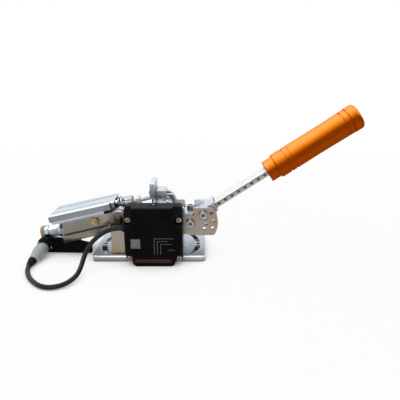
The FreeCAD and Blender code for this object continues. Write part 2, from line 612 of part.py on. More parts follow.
def gallery_and_fittings():
    """The fluid gallery between the arms, the brass bleed screw and the sensor at its left end."""
    half = size("gallery_width") / 2
    left, right = -size("gallery_left"), -size("gallery_right")
    low = -size("arm_bottom") + 1
    body = block("gallery_blank", right - left, 2 * half, -size("gallery_top") - low, left, -half, low)
    port = turned("gallery_port", 3.05, 20, left, 0, "sensor_w", ALONG)
    node("gallery_block", in_rod_frame(cut("gallery_cut", body, port)))

    spacing = ARM_INNER - half
    rear = block("gallery_side", 40, spacing, 14, left + 14, half, low + 0.5)
    node("gallery_spacer", in_rod_frame(filleted("gallery_side_rounded", rear, 2,
                                                 lambda edge: runs_along(edge, ACROSS))))

    outer = size("side_gap")
    stem = turned("bleed_stem", 3, "arm_thickness + 4.8", "bleed_u", -outer, "bleed_w", ACROSS)
    flats = hexagon("bleed_hexagon", "bleed_flats", 4, "bleed_u", -outer - 4, "bleed_w", ACROSS)
    nose = turned("bleed_nose", 2.6, 3, "bleed_u", -outer - 7, "bleed_w", ACROSS)
    node("bleed_screw", in_rod_frame(fused("bleed_fused", stem, flats, nose)))

    flange = turned("sensor_flange_disc", "sensor_flange / 2", 3.5, left - 3.5, 0, "sensor_w", ALONG)
    hexed = hexagon("sensor_hexagon", "sensor_flats", 13.5, left - 17, 0, "sensor_w", ALONG)
    neck = turned("sensor_neck", "sensor_flats / 2 - 1.2", 1.5, left - 18.5, 0, "sensor_w", ALONG)
    barrel = turned("sensor_barrel", "sensor_flats / 2 - 0.2", 5.5, left - 24, 0, "sensor_w", ALONG)
    thread = turned("sensor_thread", 3, 16, left, 0, "sensor_w", ALONG)
    node("pressure_sensor", in_rod_frame(fused("sensor_fused", flange, hexed, neck, barrel, thread)))
    ring_blank = turned("end_ring_blank", "sensor_flats / 2 + 0.4", 5, left - 29, 0, "sensor_w", ALONG)
    ring_bore = turned("end_ring_bore", "sensor_flats / 2 - 3", 3, left - 29, 0, "sensor_w", ALONG)
    node("sensor_end_ring", in_rod_frame(cut("end_ring_cut", ring_blank, ring_bore)))


def arm_fasteners():
    """Dome-head bolts through the side plates into the arms, and the screws that clamp the cylinder."""
    domes = []
    for side in (-1, 1):
        outward = ACROSS * side
        start = Vector(size("arm_bolt_x"), side * SIDE_OUTER, size("arm_bolt_z"))
        foot = start - outward * (size("side_thickness") + size("arm_thickness") - 1)
        shank = turned(f"dome_shank_{side}", "arm_bolt / 2 - running_gap", size("side_thickness")
                       + size("arm_thickness") - 1, *foot, outward)
        ball = doc.addObject("Part::Sphere", f"dome_ball_{side}")
        sunk = start - outward * 3
        bind(ball, Radius=7.2, Placement__Base__x=sunk.x, Placement__Base__y=sunk.y, Placement__Base__z=sunk.z)
        keep = turned(f"dome_keep_{side}", 8, 5, *start, outward)
        dome = doc.addObject("Part::Common", f"dome_{side}")
        dome.Base, dome.Tool = ball, keep
        recess = hexagon(f"dome_recess_{side}", 4.5, 4, *(start + outward * 1.6), outward)
        domes.append(cut(f"dome_bolt_{side}", fused(f"dome_blank_{side}", shank, dome), recess))
    node("arm_bolts", together("dome_bolts", domes))
    screws = []
    for number, (along, across) in enumerate(clamp_screw_places()):
        seat = size("arm_bottom") - 8
        screws.append(socket_screw(f"clamp_screw_{number}", 4, seat + size("flange_bottom") + 5.5, along, across,
                                   -seat, Vector(0, 0, -1)))
    node("cylinder_mount_screws", in_rod_frame(together("clamp_screws", screws)))


def push_rod_group():
    """Piston, rod, spring seat, lock nut and rod end on the rod's axis."""
    piston_face = -size("block_right") - 18
    piston = turned("piston_blank", "bore / 2 - running_gap", 14, piston_face - 14, 0, 0, ALONG)
    grooves = []
    seal_starts = (piston_face - 11, piston_face - 5.5)
    for number, start in enumerate(seal_starts):
        outer = turned(f"seal_groove_outer_{number}", "bore / 2", 2.6, start, 0, 0, ALONG)
        inner = turned(f"seal_groove_inner_{number}", "bore / 2 - 1.8", 2.6, start, 0, 0, ALONG)
        grooves.append(cut(f"seal_groove_{number}", outer, inner))
    node("piston", in_rod_frame(cut("piston_cut", piston, *grooves)))
    seals = []
    for number, start in enumerate(seal_starts):
        outer = turned(f"seal_outer_{number}", "bore / 2 - running_gap", 2.4, start + 0.1, 0, 0, ALONG)
        inner = turned(f"seal_inner_{number}", "bore / 2 - 1.75", 2.4, start + 0.1, 0, 0, ALONG)
        seals.append(cut(f"seal_{number}", outer, inner))
    node("piston_seals", in_rod_frame(together("seals", seals)))

    shank_start = PIN_U - size("rod_eye") / 2 - 7.5
    rod = turned("push_rod_turned", "push_rod / 2", shank_start - piston_face, piston_face, 0, 0, ALONG)
    node("push_rod", in_rod_frame(together("push_rod_group", [rod])))
    blank = turned("seat_blank", "seat / 2", "seat_length", "seat_start", 0, 0, ALONG)
    collar = chamfered("seat_chamfered", blank, 0.8, lambda edge: isinstance(edge.Curve, Part.Circle))
    flutes = []
    reach = size("seat") / 2 + 0.3
    for number in range(12):
        angle = 2 * math.pi * number / 12
        flutes.append(turned(f"seat_flute_{number}", 1, size("seat_length") - 5, size("seat_start") + 3,
                             reach * math.cos(angle), reach * math.sin(angle), ALONG))
    bore = turned("seat_bore", "push_rod / 2 + running_gap", "seat_length", "seat_start", 0, 0, ALONG)
    node("spring_seat", in_rod_frame(cut("seat_cut", collar, bore, *flutes)))
    nut = hexagon("rod_nut_blank", "nut_flats", 4.5, "nut_start", 0, 0, ALONG)
    hole = turned("rod_nut_bore", "push_rod / 2 + running_gap", 4.5, "nut_start", 0, 0, ALONG)
    node("rod_lock_nut", in_rod_frame(cut("rod_nut_cut", nut, hole)))

    eye = turned("eye_disc", "rod_eye / 2", "rod_eye_thickness", PIN_U, "-rod_eye_thickness / 2", 0, ACROSS)
    shank = turned("eye_shank", "rod_eye_thickness / 2", PIN_U - shank_start, shank_start, 0, 0, ALONG)
    pin_hole = turned("eye_hole", "rod_pin / 2 + pin_gap", "rod_eye_thickness + 2", PIN_U,
                      "-rod_eye_thickness / 2 - 1", 0, ACROSS)
    node("rod_end", in_rod_frame(cut("eye_cut", fused("eye_fused", eye, shank), pin_hole)))


def spring_path(radius, rise, turns, start):
    """A helix along +X as quarter-turn arcs, with a straight stub at each end."""
    quarters = round(turns * 4)

    def place(quarter):
        angle = math.pi / 2 * quarter
        return Vector(start + rise * quarter / quarters, radius * math.cos(angle), radius * math.sin(angle))

    slope = rise / quarters / (math.pi / 2)

    def heading(quarter):
        angle = math.pi / 2 * quarter
        return Vector(slope, -radius * math.sin(angle), radius * math.cos(angle)).normalize()

    stub = size("spring_wire")
    edges = [Part.LineSegment(place(0) - heading(0) * stub, place(0)).toShape()]
    for quarter in range(quarters):
        edges += biarc(place(quarter), heading(quarter), place(quarter + 1), heading(quarter + 1))
    edges.append(Part.LineSegment(place(quarters), place(quarters) + heading(quarters) * stub).toShape())
    return Part.Wire(edges)


def biarc(start, leaving, end, arriving):
    """Two tangent arcs from start to end with the given directions."""
    chord = end - start
    both = leaving + arriving
    a = 2 * (1 - leaving.dot(arriving))
    b = 2 * chord.dot(both)
    reach = (-b + math.sqrt(b * b + 4 * a * chord.dot(chord))) / (2 * a)
    first, second = start + leaving * reach, end - arriving * reach
    joint = (first + second) / 2

    def arc(one, corner, two):
        middle_chord = (one + two) / 2
        outwards = corner - middle_chord
        half_chord = one.distanceToPoint(two) / 2
        height = outwards.Length
        sagitta = half_chord * (math.sqrt(half_chord ** 2 + height ** 2) - half_chord) / height
        return Part.Arc(one, middle_chord + outwards.normalize() * sagitta, two).toShape()

    return [arc(start, first, joint), arc(joint, second, end)]


def return_spring():
    """The coil between the end cap's recess and the spring seat, one unbroken wire."""
    wire_radius = size("spring_wire") / 2
    floor = size("cap_thickness") - size("block_right") - size("cap_recess")
    clearance = 0.15
    start = floor + wire_radius + clearance
    rise = size("seat_start") - clearance - wire_radius - start
    radius = size("spring_outer") / 2 - wire_radius
    path = spring_path(radius, rise, size("spring_turns"), start)
    first = path.OrderedEdges[0]
    begin = first.valueAt(first.FirstParameter)
    section = Part.Wire([Part.Circle(begin, first.tangentAt(first.FirstParameter), wire_radius).toShape()])
    shell = Part.BRepOffsetAPI.MakePipeShell(path)
    shell.add(section)
    shell.build()
    shell.makeSolid()
    gap = rise / size("spring_turns") - size("spring_wire")
    share = shell.shape().Volume / (math.pi * wire_radius ** 2 * path.Length)
    print(f"return_spring: least gap between turns {gap:.2f} mm, volume over section times length {share:.4f}")
    thing = doc.addObject("Part::Feature", "spring_feature")
    thing.Shape = shell.shape()
    node("return_spring", in_rod_frame(thing))


def rocker():
    """The rocker between the cheeks: a hub on the pivot and a fork for the rod end."""
    body = new_body("rocker_body")
    profile = sketch_on(body, "rocker_profile", "XZ_Plane")
    left, right, top = size("rocker_left"), size("rocker_right"), size("rocker_top")
    pivot_x, pivot_z = size("pivot_x"), size("pivot_z")
    outline(profile, [(left, top, 1), (right, top, 1), (right, pivot_z + 12, 4), (pivot_x + 11, pivot_z + 4, 0),
                      (pivot_x + 8, pivot_z - 6, 0), (pivot_x - 10, pivot_z - 6, 0), (left, pivot_z + 8, 0)])
    pad(body, "rocker_pad", profile, "rocker_width", midplane=True)
    hub = sketch_on(body, "hub_profile", "XZ_Plane")
    ring(hub, "pivot_x", "pivot_z", "hub")
    pad(body, "hub_pad", hub, "2 * cheek_gap", midplane=True)
    holes = sketch_on(body, "rocker_holes", "XZ_Plane")
    ring(holes, "pivot_x", "pivot_z", "pivot_bolt / 2 + 2")
    ring(holes, *PIN_PLACE, "rod_pin / 2")
    for x, z in cheek_screw_places():
        ring(holes, x, z, 1.6)
    pocket(body, "rocker_cuts", holes)
    slot = sketch_on(body, "fork_slot", "YZ_Plane")
    half, reach = size("fork_gap") / 2, size("rod_eye") / 2 + 0.6
    rectangle(slot, -half, PIN_PLACE[1] - reach - 1, half, PIN_PLACE[1] + reach)
    pocket(body, "fork_cut", slot)
    screw_holes = sketch_on(body, "plate_screw_holes", "YZ_Plane", "rocker_left")
    for y in (-8, 8):
        ring(screw_holes, y, "rocker_top - 3.2", 1.5)
    pocket(body, "plate_screw_cut", screw_holes, 8, reverse=True)
    node("rocker_block", body)


def cheek_screw_places():
    """Screws that hold a cheek on the rocker's hub."""
    radius = (size("hub") + size("pivot_bolt") / 2 + 2) / 2
    angles = [math.radians(degrees) for degrees in (100, 200, 320)]
    return [(size("pivot_x") + radius * math.cos(angle), size("pivot_z") + radius * math.sin(angle))
            for angle in angles]


def fork_plate():
    """The upright plate on the fork's left face, notched above the rod, with its two screws."""
    thick, high = size("fork_plate_thickness"), size("fork_plate_height")
    low = size("rocker_top") - 7.4
    plate = block("fork_plate_blank", thick, "fork_plate_width", high, f"rocker_left - {thick}",
                  "-fork_plate_width / 2", low)
    rounded = filleted("fork_plate_rounded", plate, 1.2, lambda edge: runs_along(edge, ALONG))
    notch = block("fork_plate_notch", thick, "fork_gap + 1.4", 4.6, f"rocker_left - {thick}",
                  "-(fork_gap + 1.4) / 2", low)
    level = size("rocker_top") - 3.2
    holes = [turned(f"fork_plate_hole_{y}", 1.6, thick, f"rocker_left - {thick}", y, level, ALONG) for y in (-8, 8)]
    node("fork_plate", cut("fork_plate_cut", rounded, notch, *holes))
    seat = size("rocker_left") - thick
    screws = [socket_screw(f"fork_screw_{y}", 3, thick + 7, seat, y, level, Vector(-1, 0, 0), low_head=True)
              for y in (-8, 8)]
    node("fork_plate_screws", together("fork_screws", screws))


def cheek(name, front):
    """A perforated sector plate with two rows of index holes round the lever bolt."""
    body = new_body(f"{name}_body")
    offset = "cheek_gap" if front else "-(cheek_gap + cheek_thickness)"
    profile = sketch_on(body, f"{name}_profile", "XZ_Plane", offset)
    lever_x, lever_z, reach = size("lever_x"), size("lever_z"), size("sector_radius")
    top, bottom = size("sector_top"), size("sector_bottom")
    pivot_x, pivot_z, hub = size("pivot_x"), size("pivot_z"), size("hub")
    top_x = lever_x + math.sqrt(reach ** 2 - (top - lever_z) ** 2)
    bottom_x = lever_x + math.sqrt(reach ** 2 - (lever_z - bottom) ** 2)
    notch_left, notch_right, notch = lever_x - 8, lever_x + 4.9, size("holder_top")
    outline(profile, [
        (pivot_x - hub, pivot_z + hub, hub), (pivot_x + hub - 2, pivot_z + hub, 5), (pivot_x + hub + 3, top, 5),
        (notch_left, top, 3), (notch_left, notch, 2), (notch_right - 1.2, notch, 0),
        (notch_right - 1.2, notch - 3, 0), (notch_right, notch - 3, 0), (notch_right, top, 0.8),
        (top_x, top, 0), (lever_x + reach, lever_z), (bottom_x, bottom, 0),
        (lever_x + 2.4, bottom, 20), (*EDGE_RIGHT, 12), (*EDGE_LEFT, 6), (pivot_x - hub, pivot_z - hub, hub * 0.9)])
    pad(body, f"{name}_pad", profile, "cheek_thickness")
    dressed(body, "PartDesign::Fillet", f"{name}_corners", 5,
            lambda edge: runs_along(edge, ACROSS) and edge.BoundBox.XMin > top_x - 0.01)
    holes = sketch_on(body, f"{name}_bolt_holes", "XZ_Plane", offset)
    ring(holes, "pivot_x", "pivot_z", "pivot_bolt / 2 + 2")
    ring(holes, "lever_x", "lever_z", "cheek_bolt / 2 + 0.1")
    ring(holes, *LOCK_PLACE, "cheek_bolt / 2 + 0.1")
    ring(holes, lever_x - 13.1, lever_z + 6.4, 4.6)
    for x, z in cheek_screw_places():
        ring(holes, x, z, 1.7)
    pocket(body, f"{name}_bolt_cuts", holes)
    index_row(body, f"{name}_inner", offset, size("lock_radius"), size("lock_angle") - size("hole_step"), 3)
    index_row(body, f"{name}_outer", offset, size("outer_radius"), size("lock_angle") - size("hole_step") / 2, 3)
    node(name, body)


def index_row(body, name, offset, radius, first, count):
    """A row of holes on a circle round the lever bolt: one pocket and its polar pattern."""
    sketch = sketch_on(body, f"{name}_sketch", "XZ_Plane", offset)
    bind(sketch, AttachmentOffset__Base__x="lever_x", AttachmentOffset__Base__y="lever_z")
    angle = math.radians(first)
    ring(sketch, radius * math.cos(angle), radius * math.sin(angle), "cheek_hole / 2")
    hole = pocket(body, f"{name}_pocket", sketch)
    pattern = body.newObject("PartDesign::PolarPattern", f"{name}_pattern")
    pattern.Originals = [hole]
    pattern.Axis = (sketch, ["N_Axis"])
    pattern.Reversed = True
    bind(pattern, Angle=f"hole_step * {count - 1}")
    pattern.Occurrences = count
    body.Tip = pattern


def holder():
    """The lever's holder: a lug on the lever bolt and a clamp round the bar's root."""
    body = new_body("holder_body")
    lug = sketch_on(body, "lug_profile", "XZ_Plane")
    lever_x, lever_z, top = size("lever_x"), size("lever_z"), size("holder_top")
    outline(lug, [(lever_x - 7.8, top, 1), (lever_x + 4.7, top, 1), (lever_x + 9, lever_z - 4, 4),
                  (lever_x + 2, lever_z - 8, 6), (lever_x - 7.8, lever_z - 8, 6)])
    width = "2 * cheek_gap - 0.4"
    pad(body, "lug_pad", lug, width, midplane=True)
    clamp = sketch_on(body, "clamp_outline", "XZ_Plane")
    middle = size("bar_offset")
    reach = size("bar_thickness") / 2 + 2.4
    corners = [(2, -reach), (size("holder_end"), -reach), (size("holder_end"), reach), (2, reach)]
    outline(clamp, [(*lever_point(along, middle + up), 0) for along, up in corners])
    pad(body, "clamp_pad", clamp, width, midplane=True)
    slot = sketch_on(body, "slot_outline", "XZ_Plane")
    half = size("bar_thickness") / 2 + 0.05
    corners = [(size("bar_start") - 0.2, -half), (size("holder_end") + 1, -half), (size("holder_end") + 1, half),
               (size("bar_start") - 0.2, half)]
    outline(slot, [(*lever_point(along, middle + up), 0) for along, up in corners])
    feature = pocket(body, "slot_pocket", slot, "bar_width + 0.1")
    feature.Midplane = True
    holes = sketch_on(body, "holder_holes", "XZ_Plane")
    ring(holes, "lever_x", "lever_z", "cheek_bolt / 2 + 0.1")
    ring(holes, *LOCK_PLACE, "cheek_bolt / 2 + 0.1")
    pocket(body, "holder_cuts", holes)
    tapped = sketch_on(body, "holder_tap", "XY_Plane", "holder_top")
    ring(tapped, "lever_x", 0, 3)
    pocket(body, "holder_tap_cut", tapped, 8)
    node("lever_holder", body)
    node("holder_clamp_screw", socket_screw("clamp_screw", 6, 7.5, lever_x, 0, top, UP))


def bar():
    """The lever bar, with its row of cross holes."""
    low = size("bar_offset") - size("bar_thickness") / 2
    blank = block("bar_blank", "bar_end - bar_start", "bar_width", "bar_thickness", "bar_start", "-bar_width / 2", low)
    rounded = chamfered("bar_rounded", blank, 0.6, lambda edge: runs_along(edge, ALONG))
    holes = [turned(f"bar_hole_{number}", "bar_hole / 2", "bar_width",
                    f"bar_hole_first + {number} * bar_hole_pitch", "-bar_width / 2", "bar_offset", ACROSS)
             for number in range(8)]
    node("lever_bar", in_lever_frame(cut("bar_cut", rounded, *holes)))


def cheek_fasteners():
    """Bolts through both cheeks and the holder, with nuts, and the cheeks' screws on the hub."""
    length = 2 * CHEEK_OUTER + 6
    bolts, nuts = [], []
    for number, (x, z) in enumerate(((size("lever_x"), size("lever_z")), LOCK_PLACE)):
        bolts.append(socket_screw(f"cheek_bolt_{number}", size("cheek_bolt"), length, x, -CHEEK_OUTER, z, -ACROSS))
        nuts.append(hex_nut(f"cheek_nut_{number}", size("cheek_bolt"), x, CHEEK_OUTER, z, ACROSS))
    node("cheek_bolts", together("cheek_bolts_group", bolts))
    node("cheek_nuts", together("cheek_nuts_group", nuts))
    screws = [socket_screw(f"hub_screw_{number}_{side}", 3, 11, x, side * CHEEK_OUTER, z, ACROSS * side, low_head=True)
              for number, (x, z) in enumerate(cheek_screw_places()) for side in (-1, 1)]
    node("rocker_screws", together("hub_screws", screws))
    node("rod_pin", turned("rod_pin_turned", "rod_pin / 2", "rocker_width", PIN_PLACE[0], "-rocker_width / 2",
                           PIN_PLACE[1], ACROSS))


def grip_frame(thing):
    """Place a turned piece on the grip's axis, a little below the bar's middle."""
    x, z = lever_point(0, size("grip_offset"))
    thing.Placement = Placement(Vector(x, 0, z), Rotation(TILT_AXIS, 1))
    return bind(thing, Placement__Rotation__Angle="lever_angle")


def grip():
    """The turned grip: a collar, a shoulder, a ring between two grooves and a slightly waisted body."""
    body = grip_frame(new_body("grip_body_part"))
    outer, neck, waist = size("grip_diameter") / 2, size("collar_diameter") / 2, size("grip_waist") / 2
    depth, groove, hollow = size("grip_groove_depth"), size("grip_groove"), size("grip_bore") / 2
    profile = sketch_on(body, "grip_profile", "XZ_Plane")
    x = size("grip_start")
    pocket_end = x + 24
    points = [(x, 0, 0), (x, neck, 1)]
    x += size("collar_length")
    points += [(x, neck, 0), (x, outer, 1.2)]
    x += size("shoulder_length")
    for length in (size("ring_length"), size("grip_body")):
        points += [(x, outer, 0.4), (x, outer - depth, 0), (x + groove, outer - depth, 0), (x + groove, outer, 0.4)]
        x += groove
        if length == size("grip_body"):
            points.append((x + length / 2, waist))
        x += length
    points += [(x, outer, 0.4), (x, outer - depth, 0), (x + groove, outer - depth, 0), (x + groove, outer, 0.4)]
    x += groove + size("ring_length")
    points += [(x, outer, 0.4), (x, hollow, 0), (pocket_end, hollow, 0), (pocket_end, 0, 0)]
    outline(profile, points)
    turn = body.newObject("PartDesign::Revolution", "grip_turned")
    turn.Profile = profile
    turn.ReferenceAxis = (profile, ["H_Axis"])
    turn.Angle = 360
    slot = sketch_on(body, "grip_slot", "YZ_Plane", "grip_start")
    half_y, half_z = size("bar_width") / 2 + 0.1, size("bar_thickness") / 2 + 0.1
    middle = size("bar_offset") - size("grip_offset")
    rectangle(slot, -half_y, middle - half_z, half_y, middle + half_z)
    pocket(body, "grip_slot_cut", slot, "bar_end - grip_start + 0.3", reverse=True)
    node("grip", body)
    grip_cap(x, outer, hollow, groove, depth)


def grip_cap(start, outer, hollow, groove, depth):
    """The domed cap, with the spigot that goes into the grip's bore."""
    body = grip_frame(new_body("grip_cap_part"))
    profile = sketch_on(body, "grip_cap_profile", "XZ_Plane")
    end = start + groove + size("grip_cap")
    outline(profile, [(start - 12, 0, 0), (start - 12, hollow - 0.05, 1), (start, hollow - 0.05, 0),
                      (start, outer - depth, 0), (start + groove, outer - depth, 0),
                      (start + groove, outer + 0.3, 0.4), (end - 1.5, outer + 0.3, 4), (end, 0, 0)])
    turn = body.newObject("PartDesign::Revolution", "grip_cap_turned")
    turn.Profile = profile
    turn.ReferenceAxis = (profile, ["H_Axis"])
    turn.Angle = 360
    node("grip_end_cap", body)


def box_outline(sketch, notch):
    """The box's front outline: a lip that reaches down between two ears, or the raised face above them
    with a scallop at each upper screw."""
    left, right, top = size("box_left"), size("box_right"), size("box_top")
    lip_left, lip_right, lip = size("lip_left"), size("lip_right"), size("lip_bottom")
    low_screw, high_screw, step = size("ear_screw"), size("top_screw"), size("screw_notch")
    half, taper = step / 2, size("lip_taper")
    if not notch:
        ear, corner = low_screw - half, size("box_corner")
        outline(sketch, [(left, ear, half), (lip_left, ear, 0), (lip_left + taper, lip, 2),
                         (lip_right - taper, lip, 2), (lip_right, ear, 0), (right, ear, half), (right, top, corner), (left, top, corner)])
        return
    shelf = low_screw + half + 1.5
    outline(sketch, [
        (lip_left + taper, lip, 2), (lip_right - taper, lip, 2), (lip_right, lip + taper, 2),
        (lip_right, shelf, 3), (right, shelf, 2),
        (right, high_screw - half, 2), (right - step, high_screw - half, 4), (right - step, high_screw + half, 4),
        (right, high_screw + half, 2), (right, top, 5), (left, top, 5), (left, high_screw + half, 2),
        (left + step, high_screw + half, 4), (left + step, high_screw - half, 4), (left, high_screw - half, 2),
        (left, shelf, 2), (lip_left, shelf, 3), (lip_left, lip + taper, 2)])


def slope(body, name, start, length, points):
    """Cut a wedge across the cover: a triangle of (Y, Z) points, swept along X from start."""
    sketch = sketch_on(body, f"{name}_profile", "YZ_Plane", start)
    outline(sketch, [(y, z, 0) for y, z in points])
    pocket(body, name, sketch, length, reverse=True)


def box():
    """Housing shell on the side plate, with the cover, board, connector, light and screws."""
    rear, depth = SIDE_OUTER, size("box_depth")
    split = rear + depth - size("cover_depth") - size("flange_depth")
    left, right, low, top = size("box_left"), size("box_right"), size("box_bottom"), size("box_top")
    wall = size("box_wall")
    shell = block("shell_blank", right - left, split - rear, top - low, left, -split, low)
    rounded = filleted("shell_rounded", shell, size("box_corner"), lambda edge: runs_along(edge, ACROSS))
    inside = block("shell_inside", right - left - 2 * wall, split - rear - wall, top - low - 2 * wall,
                   left + wall, -split, low + wall)
    mouth = block("usb_mouth", wall, 9.8, 10.4, left, USB_Y - 4.9, size("usb_z") - 5.2)
    gland_hole = turned("gland_hole", 3.2, wall, left, GLAND[1], GLAND[2], ALONG)
    light_hole = turned("light_hole", 1.4, wall, LIGHT[0], LIGHT[1], top - wall, UP)
    backs = [turned(f"box_back_hole_{number}", 2.1, wall, x, -rear - wall, z, ACROSS)
             for number, (x, z) in enumerate(BOX_SCREW_PLACES)]
    shell_cut = cut("shell_cut", rounded, fused("shell_tools", inside, mouth, gland_hole, light_hole, *backs))
    posts = []
    for number, (x, z) in enumerate(box_screw_places()):
        length = split - rear - wall if z > low else split - size("plate_width") / 2 - 0.6
        post = turned(f"box_post_{number}", 4.4, length, x, -split, z, ACROSS)
        hole = turned(f"box_post_hole_{number}", 1.5, 4.8, x, -split, z, ACROSS)
        posts.append(cut(f"box_post_cut_{number}", post, hole))
    node("box_housing", fused("housing_fused", shell_cut, *posts))

    cover = new_body("cover_body")
    flange = sketch_on(cover, "cover_flange_profile", "XZ_Plane", split)
    box_outline(flange, notch=False)
    pad(cover, "cover_flange", flange, "flange_depth")
    face = sketch_on(cover, "cover_face_profile", "XZ_Plane", split + size("flange_depth"))
    box_outline(face, notch=True)
    pad(cover, "cover_face", face, "cover_depth")
    front = -split - size("flange_depth") - size("cover_depth")
    dressed(cover, "PartDesign::Chamfer", "cover_bevel", 1.4, on_plane_y(front))
    slope(cover, "lip_slope", left - 1, right - left + 2,
          [(front - 1, low + 2), (front - 1, -1), (front + 2.5, -1)])
    for name, start, length in (("left_shoulder", left - 1, 10.4), ("right_shoulder", right - 12.2, 13.2)):
        slope(cover, name, start, length, [(front - 1, top - 14), (front + 11, top + 1), (front - 1, top + 1)])
    recess = sketch_on(cover, "cover_recess_profile", "XZ_Plane", -front)
    outline(recess, [(left + 9.4, top - 19.5, 3), (right - 12.2, top - 19.5, 3), (right - 12.2, top - 1.9, 3),
                     (left + 9.4, top - 1.9, 3)])
    pocket(cover, "cover_recess", recess, 0.8)
    hollow = sketch_on(cover, "cover_hollow_profile", "XZ_Plane", split)
    rectangle(hollow, left + 13, low + 13, right - 13, top - 6)
    pocket(cover, "cover_hollow", hollow, "flange_depth + cover_depth - 3", reverse=True)
    holes = sketch_on(cover, "cover_screw_holes", "XZ_Plane", split)
    for x, z in box_screw_places():
        ring(holes, x, z, 1.7)
    pocket(cover, "cover_screw_cut", holes)
    node("box_cover", cover)
    seat = -split - size("flange_depth")
    screws = []
    for number, (x, z) in enumerate(box_screw_places()):
        shank = turned(f"cover_screw_shank_{number}", 1.45, 7.5, x, seat, z, ACROSS)
        button = turned(f"cover_screw_button_{number}", 4, 2.6, x, seat - 2.6, z, ACROSS)
        soft = filleted(f"cover_screw_round_{number}", fused(f"cover_screw_blank_{number}", shank, button), 1.3,
                        on_plane_y(seat - 2.6))
        recess = hexagon(f"cover_screw_recess_{number}", 2.5, 1.8, x, seat - 2.6, z, ACROSS)
        screws.append(cut(f"cover_screw_{number}", soft, recess))
    node("box_cover_screws", together("cover_screws", screws))
    box_contents(rear, wall, split)


def box_screw_places():
    """The cover's screws, in the ears below and in the scallops above."""
    inset = size("screw_notch") / 2
    return [(x, z) for z in (size("ear_screw"), size("top_screw"))
            for x in (size("box_left") + inset, size("box_right") - inset)]


# The plug points down and outwards from the middle of its socket
PLUG_AXIS = Vector(-3.6, -30, -5.4).normalize()
SOCKET_FACE = Vector(size("socket_x"), -ARM_INNER, size("socket_z")) + PLUG_AXIS * 5.4
# Where things pass through the box's walls
USB_Y = -41.4
GLAND = (size("box_left"), -42.0, 47.5)
LIGHT = (8.7, -42)


def box_contents(rear, wall, split):
    """Circuit board, USB connector, status light, cable gland and the screws through the side plate."""
    left, right, low, top = size("box_left"), size("box_right"), size("box_bottom"), size("box_top")
    board = block("board_blank", right - left - 26, 1.6, top - low - 20, left + 13, -split + 1, low + 10)
    chip = block("board_chip", 12, 1.2, 12, left + 26, -split + 2.6, low + 26)
    legs = [turned(f"board_leg_{number}", 2, split - rear - wall - 2.6, x, -split + 2.6, z, ACROSS)
            for number, (x, z) in enumerate(((left + 17, low + 14), (right - 17, low + 14),
                                             (left + 17, top - 14), (right - 17, top - 14)))]
    node("circuit_board", fused("board_fused", board, chip, *legs))
    usb_z = size("usb_z")
    shell = block("usb_shell", 13, 9.6, 10.2, left, USB_Y - 4.8, usb_z - 5.1)
    mouth = block("usb_hole", 10, 7.6, 8.2, left, USB_Y - 3.8, usb_z - 4.1)
    node("usb_socket", cut("usb_cut", shell, mouth))
    light = turned("light_lens", 1.4, wall + 1.6, LIGHT[0], LIGHT[1], top - wall - 0.6, UP)
    node("status_light", filleted("light_round", light, 0.7, lambda edge: edge.BoundBox.ZMin > top + 0.8))
    nut = turned("gland_nut", 4.6, 5, GLAND[0] - 5, GLAND[1], GLAND[2], ALONG)
    stem = turned("gland_stem", 3.15, wall + 1.5, *GLAND, ALONG)
    node("cable_gland", fused("gland_fused", filleted("gland_round", nut, 1.2,
                              lambda edge: edge.BoundBox.XMax < GLAND[0] - 4.9), stem))
    screws = [socket_screw(f"box_screw_{number}", 4, size("side_thickness") + wall + 1.5, x, -size("side_gap"), z,
                           ACROSS, low_head=True)
              for number, (x, z) in enumerate(BOX_SCREW_PLACES)]
    node("box_mount_screws", together("box_screws", screws))


def connector():
    """Tapered bracket beside the gallery, with the round socket that the plug goes into."""
    body = new_body("bracket_body")
    thick = size("bracket_thickness")
    inner = ARM_INNER - thick
    profile = sketch_on(body, "bracket_profile", "XZ_Plane", inner)
    x, z, flange = size("socket_x"), size("socket_z"), size("socket_flange") / 2
    soft = flange * 0.94
    end = -size("plate_length") / 2 - 6.5
    post = end - 14.5
    outline(profile, [(x - flange, z + flange, soft), (x - flange, z - flange, soft), (end, z - flange - 1.2, 1.5),
                      (end, z + 1.4, 1.5), (post, z + 5, 0), (post - 1, z + 19, 3), (post - 14, z + 16, 3),
                      (post - 19, z + 8.5, 2)])
    pad(body, "bracket_pad", profile, "bracket_thickness")
    node("connector_bracket", body)
    face = -ARM_INNER
    rim = turned("socket_rim", "socket_flange / 2 - 0.6", 2, "socket_x", face - 2, "socket_z", ACROSS)
    root = SOCKET_FACE - PLUG_AXIS * 8
    barrel = turned("socket_barrel", 7.2, 8, *root, PLUG_AXIS)
    behind = block("socket_trim", 40, 10, 40, "socket_x - 20", face, "socket_z - 20")
    node("sensor_socket", cut("socket_cut", fused("socket_fused", rim, barrel), behind))
    screws = []
    for number, (sx, sz) in enumerate(((x + 8.4, z - 3), (x - 8, z + 3.6))):
        head = turned(f"bracket_screw_head_{number}", 1.5, 1.2, sx, face - 3.2, sz, ACROSS)
        screws.append(filleted(f"bracket_screw_{number}", head, 0.5, on_plane_y(face - 3.2)))
    node("bracket_screws", together("bracket_screw_group", screws))


